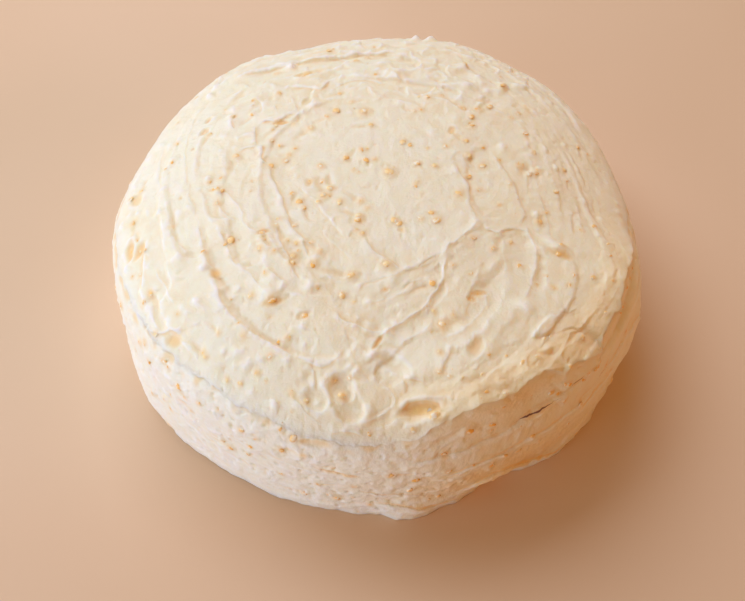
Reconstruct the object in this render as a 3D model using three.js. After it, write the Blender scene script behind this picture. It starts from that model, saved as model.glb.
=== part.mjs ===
// A round mimosa cake, coated all over with fruit cream that was spread with a palette knife.
// It is one solid: the cake is uncut, so no layer of it shows. The coat is a low dome that rounds over
// into an upright side. The knife left pressed flats, swipes, crests of pushed-up cream, hollows, tiers
// along the side and, on one half, a lip where the top coat hangs over the side.
//
// Frame: millimetres, +Z up, origin at the middle of the flat base, -Y towards the lowest part of the lip.
// Azimuths are degrees from +X, anticlockwise seen from above.

import * as THREE from "three";

// ---- Driving dimensions ----
const HEIGHT = 86; // flat base to the middle of the dome
const BASE_RADIUS = 121; // where the side meets the table
const BELLY_RADIUS = 124; // the widest ring
const BELLY_HEIGHT = 42; // height of the widest ring
const SHOULDER_POWER = 2.67; // superellipse power of the dome: 2 is round, more is squarer

// ---- Fineness of the solid ----
const COLUMNS = 116; // round the axis
const ROWS = 42; // from the edge of the base to the middle of the top
const PROFILE_STEPS = 400; // steps the profile is measured in before it is divided evenly
const CURVE_STEPS = 18; // straight steps in the track of a mark
const FINEST_CREST = 3.2; // no crest is narrower than this, so that the grid can carry it

// ---- Small helpers ----
const radians = THREE.MathUtils.degToRad;
const degrees = THREE.MathUtils.radToDeg;
const clamp = THREE.MathUtils.clamp;
const smooth = (from, to, x) => THREE.MathUtils.smoothstep(x, from, to);
const bell = (x, width) => Math.exp(-((x / width) ** 2));
const turned = (angle) => THREE.MathUtils.euclideanModulo(angle + 180, 360) - 180;

// 1 between low and high, 0 outside them, with a soft step at each.
function between(low, high, soft, x) {
  return smooth(low - soft, low + soft, x) * (1 - smooth(high - soft, high + soft, x));
}

// ---- The plain form, before any knife mark ----
// A point of the profile: below the belly the side leans out a little, above it the dome rounds over.
function sidePoint(share) {
  const radius = BASE_RADIUS + (BELLY_RADIUS - BASE_RADIUS) * Math.sin((share * Math.PI) / 2);
  return new THREE.Vector2(radius, BELLY_HEIGHT * share);
}

function domePoint(turn, power) {
  const radius = BELLY_RADIUS * Math.max(Math.cos(turn), 0) ** (2 / power);
  const height = BELLY_HEIGHT + (HEIGHT - BELLY_HEIGHT) * Math.sin(turn) ** (2 / power);
  return new THREE.Vector2(radius, height);
}

// Stations stand evenly along the profile from the base's edge (0) to the axis (ROWS). Each one gives its
// point, its distance to the axis along the coat and, on the dome, its turn, for a squarer shoulder.
function profileStations() {
  const fine = [];
  for (let i = 0; i < PROFILE_STEPS; i++) fine.push({ point: sidePoint(i / PROFILE_STEPS), turn: 0 });
  for (let i = 0; i <= PROFILE_STEPS; i++) {
    const turn = ((i / PROFILE_STEPS) * Math.PI) / 2;
    fine.push({ point: domePoint(turn, SHOULDER_POWER), turn });
  }
  let length = 0;
  for (let i = 1; i < fine.length; i++) {
    length += fine[i].point.distanceTo(fine[i - 1].point);
    fine[i].length = length;
  }
  fine[0].length = 0;
  const stations = [];
  for (let row = 0; row < ROWS; row++) {
    const station = fine.find((each) => each.length >= (length * row) / ROWS);
    stations.push({ ...station, distance: length - station.length });
  }
  stations.push({ point: new THREE.Vector2(0, HEIGHT), turn: Math.PI / 2, length, distance: 0 });
  return stations;
}

// ---- Unevenness of the whole ----
// A swell moves the side out (or in) round one azimuth, between two heights.
const swell = (azimuth, width, low, high, out) => ({ azimuth, width, low, high, out });
const SWELLS = [
  swell(12, 24, 0, 90, -6.5),
  swell(-148, 12, -9, 30, 3.0),
  swell(-84, 5, -9, 12, 3.5),
  swell(-63, 8, -9, 11, -6.5),
  swell(-21, 6, 20, 50, 2.5),
  swell(71, 9, 40, 76, 3.0),
  swell(127, 10, 40, 76, 2.2),
  swell(108, 7, 40, 76, -1.5),
  swell(162, 16, 20, 76, -2.6),
];
const SWELL_SOFT = 7; // millimetres over which a swell fades at its low and high ends

function swelling(azimuth, height) {
  let out = 0;
  for (const s of SWELLS) {
    out += s.out * bell(turned(azimuth - s.azimuth), s.width) * between(s.low, s.high, SWELL_SOFT, height);
  }
  return out;
}

// ---- The lip ----
// The top coat hangs over the side. On the lip's own half its edge is high and crisp, and the shoulder
// above it is squarer; round the rest it is low and faint.
const LIP_FROM = -78; // azimuths of the half with the crisp lip
const LIP_TO = -16;
const LIP_SOFT = 13; // degrees over which it grows and fades
const LIP_SQUARER = 1.8; // added to the shoulder's power
const LIP_OUT = 3.2; // how far it hangs out
const LIP_OUT_FAINT = 0.8;
const LIP_EDGE = 74; // height of its edge
const LIP_EDGE_FAINT = 57;
const LIP_STEP = 2.2; // half the height of the step under it
const LIP_FADE = 15; // how far above the edge the lip still stands out

const lipShare = (azimuth) => between(LIP_FROM, LIP_TO, LIP_SOFT, azimuth);

function lipOut(azimuth, height) {
  const share = lipShare(azimuth);
  const edge = LIP_EDGE_FAINT + (LIP_EDGE - LIP_EDGE_FAINT) * share + Math.sin(radians(azimuth * 9));
  const out = LIP_OUT_FAINT + (LIP_OUT - LIP_OUT_FAINT) * share;
  return out * smooth(edge - LIP_STEP, edge + LIP_STEP, height) * bell(Math.max(height - edge, 0), LIP_FADE);
}

// ---- Knife marks ----
// Marks lie on the coat unrolled about the middle of the top: x and y are in millimetres, and the distance
// from the middle is measured along the coat, so the side lies beyond the dome.

// A swipe is a curved track from one point by way of another to a third. Its floor lies depth below the
// coat; lean 1 digs in its left edge, -1 its right edge and 0 the middle. Crest is the cream pushed up.
const swipe = (from, by, to, width, depth, lean, crest) => ({ from, by, to, width, depth, lean, crest });

const LEFT_FLANK_SWIPES = [
  swipe([-76, 92], [-118, 22], [-100, -48], 15, 1.0, 1, 0.6),
  swipe([-66, 80], [-98, 28], [-82, -30], 15, 1.4, -1, 0.8),
  swipe([-52, 76], [-80, 36], [-62, -12], 14, 1.2, -1, 0.8),
  swipe([-108, -46], [-106, -58], [-98, -68], 6, 1.7, 0, 0.6),
  swipe([-98, -46], [-96, -58], [-92, -68], 6, 1.7, 0, 0.6),
  swipe([-116, -16], [-116, -26], [-110, -34], 7, 1.6, 0, 0.6),
];
const RIGHT_FLANK_SWIPES = [
  swipe([76, 66], [108, 20], [104, -40], 16, 1.0, -1, 0.6),
  swipe([66, 62], [88, 20], [86, -30], 15, 0.9, 1, 0.7),
  swipe([100, -18], [106, -52], [78, -84], 12, 1.1, 1, 0.6),
  swipe([84, -24], [88, -52], [62, -86], 13, 1.0, -1, 0.8),
];
const FAR_SWIPES = [
  swipe([-68, 80], [-25, 82], [16, 90], 11, 2.8, 0, 1.0),
  swipe([-46, 62], [-8, 70], [34, 56], 9, 0.9, 1, 0.7),
  swipe([20, 92], [56, 84], [78, 58], 14, 0.9, 1, 0.6),
  swipe([-30, 108], [10, 120], [60, 104], 12, 0.8, 1, 0.5),
];
const NEAR_SWIPES = [
  swipe([-70, -34], [-62, -84], [-13, -84], 20, 1.8, -1, 1.1),
  swipe([-52, 6], [-44, -40], [-20, -66], 10, 1.6, -1, 1.0),
  swipe([-16, -60], [8, -56], [32, -36], 9, 1.1, -1, 0.7),
  swipe([-18, -66], [8, -74], [27, -48], 12, 1.7, -1, 1.2),
  swipe([64, -56], [50, -76], [27, -100], 9, 2.0, 1, 1.0),
  swipe([34, -72], [12, -78], [4, -94], 10, 1.6, -1, 0.9),
  swipe([42, -57], [40, -66], [33, -76], 8, 1.3, 0, 0.8),
  swipe([-92, -74], [-88, -80], [-80, -88], 8, 1.5, 0, 0.8),
  swipe([-28, -92], [-27, -100], [-24, -108], 8, 1.4, 0, 0.8),
  swipe([-15, -92], [-18, -102], [-15, -112], 9, 1.5, 0, 0.9),
  swipe([0, -116], [13, -114], [26, -109], 8, 2.8, 0, 0.6),
];

// A flat is an oval pressed level with the knife: its middle, half its length, half its width, the azimuth
// of its length, how deep it lies and the azimuth of the side where it digs in most.
const flat = (middle, length, width, azimuth, depth, digs) => ({ middle, length, width, azimuth, depth, digs });
const FLATS = [
  flat([-7, 11], 53, 46, 96, 1.3, 165),
  flat([52, -2], 26, 12, 98, 1.5, 172),
  flat([59, -43], 16, 8.5, 84, 1.1, 15),
];
const FLAT_CREST = 0.9; // cream pushed up round a flat

// A ridge is a crest of pushed-up cream along a curve, gentler on its left.
const ridge = (from, by, to, height) => ({ from, by, to, height });
const RIDGES = [
  ridge([43, -21], [28, -36], [26, -52], 2.0),
  ridge([26, -52], [24, -72], [-4, -86], 2.2),
  ridge([50, 22], [60, 2], [63, -22], 1.2),
  ridge([64, -24], [71, -40], [63, -60], 1.3),
  ridge([-38, 45], [-60, 44], [-55, 22], 1.5),
  ridge([-55, 22], [-54, 8], [-44, -8], 1.2),
  ridge([-11, -92], [-13, -80], [-18, -68], 1.2),
  ridge([-34, -112], [-10, -122], [22, -116], 1.2),
];
const RIDGE_WIDTHS = { left: 4.6, right: 3.2 }; // how far a ridge spreads to each side

// A peak is a tip of cream that the knife pulled up as it left.
const peak = (x, y, height) => ({ x, y, height });
const PEAKS = [
  peak(-43, 90, 3.2),
  peak(88, 70, 3.2),
  peak(78, -34, 2.4),
  peak(66, 72, 1.8),
  peak(-46, -62, 1.5),
  peak(-88, -74, 1.6),
  peak(64, -63, 1.5),
  peak(20, 117, 2.4),
  peak(-118, 16, 1.8),
];
const PEAK_REACH = 4;

// The knife went along the rim at the far side, and in tiers round the upright side.
const FAR_RIM = { swipes: 7, from: 18, to: 138, span: 32, distance: 112, stagger: 4, width: 12, depth: 0.9 };
const TIERS = [
  { height: 9, first: -12, swipes: 7, depth: 0.9 },
  { height: 24, first: 14, swipes: 6, depth: 1.2 },
  { height: 39, first: -30, swipes: 7, depth: 1.2 },
  { height: 54, first: 6, swipes: 6, depth: 1.0 },
];
const TIER = { width: 13, crest: 0.6, slope: 4, overlap: 1.08 };

function onCoat(azimuth, distance) {
  return [distance * Math.cos(radians(azimuth)), distance * Math.sin(radians(azimuth))];
}

// A swipe along the rim: from one azimuth and distance to another.
function rimSwipe(start, end, near, far, width, depth, lean, crest) {
  const bow = (near + far) / 2 / Math.cos(radians(end - start) / 2);
  const by = onCoat((start + end) / 2, bow);
  return swipe(onCoat(start, near), by, onCoat(end, far), width, depth, lean, crest);
}

function farRimSwipes() {
  const made = [];
  const { swipes, from, to, span, distance, stagger, width, depth } = FAR_RIM;
  for (let i = 0; i < swipes; i++) {
    const start = from + ((to - from) * i) / (swipes - 1);
    const lean = i % 2 ? 1 : -1;
    const near = distance + stagger * lean;
    made.push(rimSwipe(start, start + span, near, near + stagger, width, depth, lean, 0.6));
  }
  return made;
}

function tierSwipes(length) {
  const made = [];
  for (const { height, first, swipes, depth } of TIERS) {
    const span = 360 / swipes;
    for (let i = 0; i < swipes; i++) {
      const start = first + i * span;
      const slope = TIER.slope * Math.sin(i * 2.3 + height);
      const distance = length - height;
      const end = start + span * TIER.overlap;
      made.push(rimSwipe(start, end, distance - slope, distance + slope, TIER.width, depth, -1, TIER.crest));
    }
  }
  return made;
}

// The track of a mark, as points joined by straight steps.
function withTrack(mark) {
  const [from, by, to] = [mark.from, mark.by, mark.to].map((spot) => new THREE.Vector2(...spot));
  return { ...mark, track: new THREE.QuadraticBezierCurve(from, by, to).getPoints(CURVE_STEPS) };
}

// Where a spot lies by a track: how far along it (0 to 1), how far from it and how far to its left.
function besideTrack(track, x, y) {
  let nearest = { distance: Infinity, along: 0, left: 0 };
  for (let i = 0; i < track.length - 1; i++) {
    const step = track[i + 1].clone().sub(track[i]);
    const spot = new THREE.Vector2(x, y).sub(track[i]);
    const share = clamp(spot.dot(step) / step.lengthSq(), 0, 1);
    const distance = spot.distanceTo(step.clone().multiplyScalar(share));
    const left = step.cross(spot) < 0 ? -distance : distance;
    const along = (i + share) / (track.length - 1);
    if (distance < nearest.distance) nearest = { distance, along, left };
  }
  return nearest;
}

// Each of these takes the coat's height at a spot and gives it back with one mark made there.
const EVENED = 0.8; // how much of what was there before a swipe or a flat evens out

function withSwipe(height, mark, x, y) {
  const half = mark.width / 2;
  const { distance, along, left } = besideTrack(mark.track, x, y);
  if (distance > mark.width + FINEST_CREST) return height;
  const ends = smooth(0, 0.12, along) * (1 - smooth(0.86, 1, along));
  const across = clamp(left / half, -1, 1);
  const inside = ends * (1 - smooth(0.8 * half, 1.2 * half, distance));
  const floor = -mark.depth * (mark.lean ? (1 + mark.lean * across) / 2 : 1 - across ** 2);
  const crestWidth = Math.max(half * 0.22, FINEST_CREST / 2);
  const crestSides = mark.lean ? [mark.lean] : [1, -1];
  let made = height * (1 - EVENED * inside) + floor * inside;
  for (const side of crestSides) {
    made += mark.crest * ends * bell(left - side * (half + crestWidth), crestWidth);
  }
  return made;
}

function withFlat(height, mark, x, y) {
  const spot = new THREE.Vector2(x - mark.middle[0], y - mark.middle[1]);
  const turn = new THREE.Vector2(...onCoat(mark.azimuth, 1));
  const out = Math.hypot(spot.dot(turn) / mark.length, spot.cross(turn) / mark.width);
  const towards = spot.dot(new THREE.Vector2(...onCoat(mark.digs, 1))) / mark.width;
  const inside = 1 - smooth(0.93, 1.05, out);
  const floor = -mark.depth * clamp(0.5 + 0.6 * towards, 0, 1.2);
  const rim = FLAT_CREST * bell((out - 1.06) * mark.width, FINEST_CREST) * smooth(-0.5, 0.8, towards);
  return height * (1 - EVENED * inside) + floor * inside + rim;
}

function withRidge(height, mark, x, y) {
  const { distance, along, left } = besideTrack(mark.track, x, y);
  const ends = smooth(0, 0.1, along) * (1 - smooth(0.9, 1, along));
  const width = left > 0 ? RIDGE_WIDTHS.left : RIDGE_WIDTHS.right;
  return height + mark.height * (0.35 + 0.65 * ends) * bell(distance, width);
}

function withPeak(height, mark, x, y) {
  return height + mark.height * bell(Math.hypot(x - mark.x, y - mark.y), PEAK_REACH);
}

// Soft waves that the coat has before the last marks, as sums of sines over millimetres.
function waves(x, y) {
  const broad = Math.sin(x / 23 + 1.3) * Math.sin(y / 27 + 0.4) + 0.6 * Math.sin((x + y) / 17 + 2.1);
  const small = Math.sin(x / 7.3 + 2 * Math.sin(y / 19)) * Math.sin(y / 6.1 + 1.7 * Math.sin(x / 23));
  return 0.55 * broad + 0.28 * small;
}

// A function that gives how far the coat stands out at a spot, with every mark made in order.
function reliefMaker(length) {
  const allSwipes = [
    ...farRimSwipes(), ...tierSwipes(length), ...LEFT_FLANK_SWIPES, ...RIGHT_FLANK_SWIPES, ...FAR_SWIPES,
    ...NEAR_SWIPES,
  ].map(withTrack);
  const ridges = RIDGES.map(withTrack);
  return (x, y) => {
    let height = waves(x, y);
    for (const mark of allSwipes) height = withSwipe(height, mark, x, y);
    for (const mark of FLATS) height = withFlat(height, mark, x, y);
    for (const mark of ridges) height = withRidge(height, mark, x, y);
    for (const mark of PEAKS) height = withPeak(height, mark, x, y);
    return height;
  };
}

// ---- The solid ----
const BASE_CALM = 6; // height over which the marks fade in above the base, which stays flat
const CENTRE_CALM = { from: 70, to: 105 }; // radii over which the shoulder's changes grow from nothing

// Where one spot of the plain form goes once it is uneven and marked, as a radius and a height.
function finished(azimuth, station, slope, relief) {
  const { point, turn, distance } = station;
  const outer = smooth(CENTRE_CALM.from, CENTRE_CALM.to, point.x);
  const power = SHOULDER_POWER + LIP_SQUARER * lipShare(azimuth) * outer;
  const form = turn > 0 ? domePoint(turn, power) : point.clone();
  const depth = relief(...onCoat(azimuth, distance)) * smooth(0, BASE_CALM, point.y);
  form.x += outer * (swelling(azimuth, form.y) + lipOut(azimuth, form.y));
  return form.add(slope.clone().multiplyScalar(depth));
}

function cakeGeometry() {
  const stations = profileStations();
  const relief = reliefMaker(stations[0].distance);
  const profile = [new THREE.Vector2(0, 0), ...stations.map((station) => station.point)];
  const geometry = new THREE.LatheGeometry(profile, COLUMNS).rotateX(Math.PI / 2);
  geometry.deleteAttribute("normal");
  geometry.deleteAttribute("uv");
  const spots = geometry.getAttribute("position");
  for (let i = 0; i < spots.count; i++) {
    const row = (i % profile.length) - 1;
    if (row < 0) continue; // the middle of the base stays where it is
    const station = stations[row];
    const azimuth = row === ROWS ? 0 : degrees(Math.atan2(spots.getY(i), spots.getX(i)));
    const along = stations[Math.min(row + 1, ROWS)].point.clone().sub(stations[Math.max(row - 1, 0)].point);
    const slope = row === ROWS ? new THREE.Vector2(0, 1) : new THREE.Vector2(along.y, -along.x).normalize();
    const spot = finished(azimuth, station, slope, relief);
    const radius = row === ROWS ? 0 : spot.x;
    spots.setXYZ(i, ...onCoat(azimuth, radius), row === 0 ? 0 : spot.y);
  }
  return geometry;
}

const cream = new THREE.MeshStandardMaterial({ color: 0xf3e6cb, roughness: 0.55, metalness: 0 });
const cake = new THREE.Mesh(cakeGeometry(), cream);
cake.name = "cake";

const part = new THREE.Group();
part.add(cake);
export default part;
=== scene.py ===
"""Mimosa cake: a round cake under two coats of fruit cream that were spread with a palette knife.

The side coat goes round the upright side. The top coat covers the dome and hangs over the side coat
as a lip. Bits of fruit and specks of zest sit in both. Lengths are in millimetres until a mesh is made.
"""

import math

import bpy
import numpy as np
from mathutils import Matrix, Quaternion, Vector


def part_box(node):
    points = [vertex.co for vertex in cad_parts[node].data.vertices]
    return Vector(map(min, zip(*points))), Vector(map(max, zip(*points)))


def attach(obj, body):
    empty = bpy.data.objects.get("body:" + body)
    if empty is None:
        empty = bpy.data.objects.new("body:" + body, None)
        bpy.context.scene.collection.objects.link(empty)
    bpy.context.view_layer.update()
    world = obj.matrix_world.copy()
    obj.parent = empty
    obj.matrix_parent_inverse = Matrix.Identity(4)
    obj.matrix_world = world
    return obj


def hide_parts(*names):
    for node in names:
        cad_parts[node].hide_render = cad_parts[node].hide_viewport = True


bl_info = {
    "name": "Mimosa Cake",
    "version": (1, 0, 0),
    "blender": (4, 5, 0),
    "location": "3D View > Sidebar > Cake",
    "description": "Makes a cake coated in fruit cream, with knife marks, a lip and bits of fruit",
    "category": "Add Mesh",
}

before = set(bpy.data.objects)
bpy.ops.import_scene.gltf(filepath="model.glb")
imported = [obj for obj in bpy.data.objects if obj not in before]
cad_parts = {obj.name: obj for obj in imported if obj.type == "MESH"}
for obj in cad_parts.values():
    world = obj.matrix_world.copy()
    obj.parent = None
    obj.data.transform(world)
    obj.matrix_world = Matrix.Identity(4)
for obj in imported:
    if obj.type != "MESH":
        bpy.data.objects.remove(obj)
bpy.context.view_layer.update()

NODE = "cake"
MM = 0.001
FLOOR_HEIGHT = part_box(NODE)[0][2] / MM  # what the cake stands on


# ---- Sizes and colours that a user would change ----
def linear(hex_colour):
    """An sRGB hex colour as linear red, green, blue and 1 for alpha."""
    parts = [int(hex_colour[i : i + 2], 16) / 255 for i in (1, 3, 5)]
    return (*[c / 12.92 if c <= 0.04045 else ((c + 0.055) / 1.055) ** 2.4 for c in parts], 1.0)


def setting(name, description, default, kind=bpy.props.FloatProperty, **more):
    return kind(name=name, description=description, default=default, min=0, **more)


def length_setting(name, description, default):
    return setting(name, description, default * MM, subtype="DISTANCE", unit="LENGTH")


def power_setting(name, description, default):
    return setting(name, description, default, subtype="POWER", unit="POWER")


def count_setting(name, description, default):
    return setting(name, description, default, bpy.props.IntProperty)


def colour_setting(name, description, default):
    kind = bpy.props.FloatVectorProperty
    return setting(name, description, linear(default), kind, size=4, max=1, subtype="COLOR")


class CakeSizes(bpy.types.PropertyGroup):
    """Lengths, how many bits there are, and how strong the light is"""

    height: length_setting("Height", "From the flat base to the middle of the dome", 86)
    base_radius: length_setting("Base Radius", "Where the side meets the table", 121)
    belly_radius: length_setting("Belly Radius", "The widest ring", 124)
    belly_height: length_setting("Belly Height", "Height of the widest ring", 42)
    lip: length_setting("Lip", "How far the crisp half of the lip stands out", 4)
    marks: setting("Marks", "How deep the knife marks are, 1 being as spread", 1, subtype="FACTOR")
    bit_smallest: length_setting("Smallest Bit", "Smallest scattered bit of fruit", 1.2)
    bit_largest: length_setting("Largest Bit", "Largest scattered bit of fruit", 3)
    bits_top: count_setting("Bits on Top", "How many small bits are scattered over the top", 75)
    bits_side: count_setting("Bits on Side", "How many small bits are scattered round the side", 80)
    speck: length_setting("Speck", "Size of the largest speck of zest", 1)
    specks: count_setting("Specks", "How many specks of zest there are", 160)
    high_window: power_setting("High Window", "Power of the soft light from above on the left", 15.3)
    low_window: power_setting("Low Window", "Power of the cool light that comes in low from the left", 11)
    table_bounce: power_setting("Table Light", "Power of the warm light that the table throws back", 7.7)
    room: setting("Room Light", "Strength of the light from all round", 0.25, subtype="FACTOR")


class CakeColours(bpy.types.PropertyGroup):
    """Colours of the cream, the fruit, the floor and the light"""

    # Painted highlight: the palest cream, laid on crests and along the rims of sheets' edges.
    painted_highlight: colour_setting("Light Cream", "The palest cream, on crests and rims", "#FFFBF0")
    cream: colour_setting("Cream", "Most of the cream", "#FEF7E2")
    # Random patches of deeper cream, and painted shade where the cream lies lower than round it.
    hollow: colour_setting("Hollows", "Cream where it lies thin and wet", "#FCEED2")
    thin: colour_setting("Thin Cream", "Cream with the sponge showing faintly through it", "#FBF4E4")
    # Juice: real juice stains round bits and in the fruit's fibres, and also painted shade in creases,
    # hollows, beside slits, under the lip's loose edge and over the right-hand side.
    juice_and_shade: colour_setting("Juice", "Cream that fruit juice has coloured", "#FCD18A")
    # The sponge in the slits, darkened with painted shade.
    sponge_in_shade: colour_setting("Sponge", "What shows in the slits", "#8A5E54")
    fruit_yellow: colour_setting("Yellow Fruit", "The palest bits", "#FFEDB8")
    fruit_orange: colour_setting("Orange Fruit", "The ripest bits", "#FFC054")
    floor: colour_setting("Floor", "The floor's paler tone", "#E6CBAE")
    floor_deep: colour_setting("Deeper Floor", "The floor's deeper tone", "#DFC2A2")
    high_window: colour_setting("High Window", "Daylight from above", "#EEF0FF")
    low_window: colour_setting("Low Window", "Cooler daylight from the side", "#D6E2FF")
    table_bounce: colour_setting("Table Light", "Daylight thrown back by a wooden table", "#FF8A50")
    room: colour_setting("Room", "The light from all round", "#FFDC98")


def millimetres(stored):
    """A length from the panel in millimetres, without the rounding that its storage adds."""
    return round(stored / MM, 4)


# ---- Fineness of the meshes ----
TOP_RINGS = 148  # square rings of the top coat, under 200,000 triangles with its underside
SIDE_COLUMNS = 1000
SIDE_ROWS = 93
PROFILE_STEPS = 2000
TRACK_STEPS = 10  # steps between two spots of a mark's track


# ---- Small numeric helpers, for whole arrays ----
def smooth(low, high, x):
    """0 below low, 1 above high, with a soft step between."""
    t = np.clip((x - low) / (high - low), 0, 1)
    return t * t * (3 - 2 * t)


def bell(x, width):
    return np.exp(-((x / width) ** 2))


def between(low, high, soft, x):
    """1 between low and high, 0 outside them, with a soft step at each."""
    return smooth(low - soft, low + soft, x) * (1 - smooth(high - soft, high + soft, x))


def turned(angle):
    """The same angle, in degrees, between -180 and 180."""
    return (angle + 180) % 360 - 180


def on_coat(azimuth, distance):
    """x and y of a place on the unrolled coat."""
    turn = np.radians(azimuth)
    return distance * np.cos(turn), distance * np.sin(turn)


def lattice(cell, seed):
    """A fixed pseudo-random whole number for each corner of a lattice, mixed by multiplying with primes."""
    n = cell[0] * 73856093 ^ cell[1] * 19349663 ^ cell[2] * 83492791 ^ (seed * 2654435761 & 0x7FFFFFFF)
    n = (n ^ (n >> 13)) * 1274126177
    return (n ^ (n >> 16)) & 0x3FFFFFFF


def noise(places, size, seed=0):
    """Smooth gradient noise, about -1 to 1, at places (3 x N, millimetres) with lumps of that size."""
    scaled = np.asarray(places, float) / size + 0.37 * (seed + 1)
    cell = np.floor(scaled).astype(np.int64)
    offset = scaled - cell
    fade = offset * offset * offset * (offset * (offset * 6 - 15) + 10)
    total = 0.0
    for corner in np.ndindex(2, 2, 2):
        step = np.array(corner)[:, None]
        n = lattice(cell + step, seed)
        pull = np.stack([n & 1023, (n >> 10) & 1023, (n >> 20) & 1023]) / 511.5 - 1
        weight = np.prod(np.where(step, fade, 1 - fade), axis=0)
        total = total + weight * np.sum(pull * (offset - step), axis=0)
    return total * 1.5


def uneven(places, layers):
    """Noise in layers: each one gives its height, the size of its lumps and its seed."""
    return sum(height * noise(places, size, seed) for height, size, seed in layers)


def on_ring(azimuth):
    """Places on a ring of 40 mm, for noise that depends on the azimuth alone."""
    return np.stack([*on_coat(azimuth, 40.0), 0 * azimuth])


# ---- The plain form ----
SHOULDER_POWER = 2.67  # superellipse power of the dome: 2 is round, more is squarer
SQUARER = 1.8  # added to that power over the near half of the shoulder
SQUARER_HALF = (-78, -16)  # azimuths between which it is squarer
CENTRE_CALM = (70, 105)  # radii over which the shoulder's changes grow from nothing

# A swell moves the side out (or in) round one azimuth: azimuth, its spread, lowest and highest place, out.
SWELLS = (
    (12, 24, 0, 90, -6.5),
    (-148, 12, -9, 30, 3.0),
    (-84, 5, -9, 12, 3.5),
    (-63, 8, -9, 11, -6.5),
    (-21, 6, 20, 50, 2.5),
    (71, 9, 40, 76, 3.0),
    (127, 10, 40, 76, 2.2),
    (108, 7, 40, 76, -1.5),
    (162, 16, 20, 76, -2.6),
)
SWELL_SOFT = 7

# Where the top coat's edge lies: azimuth, and distance from the middle of the top along the coat.
LIP_EDGE = (
    (-180, 126), (-160, 125), (-140, 124), (-125, 122), (-112, 125), (-98, 127.5), (-94, 127),
    (-90, 125.7), (-86, 124.8), (-84, 124.7), (-81.5, 123.6), (-79, 120), (-77, 119), (-75, 117.7),
    (-71, 116), (-69, 115.6), (-65, 116.4), (-62, 115.7), (-59.2, 112.7), (-55, 112.2), (-53.4, 114.8),
    (-50.8, 120.4), (-49.8, 118.2), (-47.5, 119), (-45.7, 121.7), (-42.9, 123.8), (-41, 124.8),
    (-40.3, 120.9), (-39.6, 119.3), (-37.8, 117.7), (-35, 116.8), (-33, 116.2), (-31.4, 117.8),
    (-30, 114.8), (-27.8, 113.6), (-25.4, 112), (-20.8, 113.5), (-17, 114.7), (-8, 119), (2, 124),
    (25, 128), (60, 125), (100, 129), (140, 125), (180, 126),
)
LIP_HALF = (-82, -14)  # azimuths between which the lip is crisp and stands out
LIP_SOFT = 13  # degrees over which that fades
LIP_FAINT = 0.9  # how far it stands out everywhere else
LIP_FADE = 20  # how far above its edge it still stands out
LIP_NOTCHES = ((0.8, 2.2, 41), (0.6, 0.9, 42))  # the edge's unevenness, in layers
LIP_LOOSE = ((2.4, 6, 44), (1.4, 1.6, 45))  # and what is added where the lip isn't crisp
LIP_UNEVEN = 0.35  # how much its thickness varies
LIP_CALMED = (1, 1, 2, 2)  # degrees that each round of evening the edge out reaches to


def swelling(azimuth, height):
    out = 0.0
    for middle, spread, low, high, most in SWELLS:
        out = out + most * bell(turned(azimuth - middle), spread) * between(low, high, SWELL_SOFT, height)
    return out


def crispness(azimuth, soft=LIP_SOFT):
    """1 over the half of the lip that is crisp, and 0 over the other."""
    return between(*LIP_HALF, soft, azimuth)


def lip_edge(azimuth):
    """Distance from the middle of the top to the lip's edge, ragged as a knife leaves it."""
    ring = on_ring(azimuth)
    loose = 1 - crispness(azimuth)
    plain = np.interp(azimuth, *np.array(LIP_EDGE, float).T)
    return plain + uneven(ring, LIP_NOTCHES) + loose * uneven(ring, LIP_LOOSE)


def calm_lip_edge(azimuth):
    """The same distance without the notches."""
    around = np.arange(-180.0, 181.0)
    distance = np.interp(around, *np.array(LIP_EDGE, float).T)
    for step in LIP_CALMED:
        distance = (np.roll(distance, step) + distance + np.roll(distance, -step)) / 3
    return np.interp(turned(azimuth), around, distance)


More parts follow.
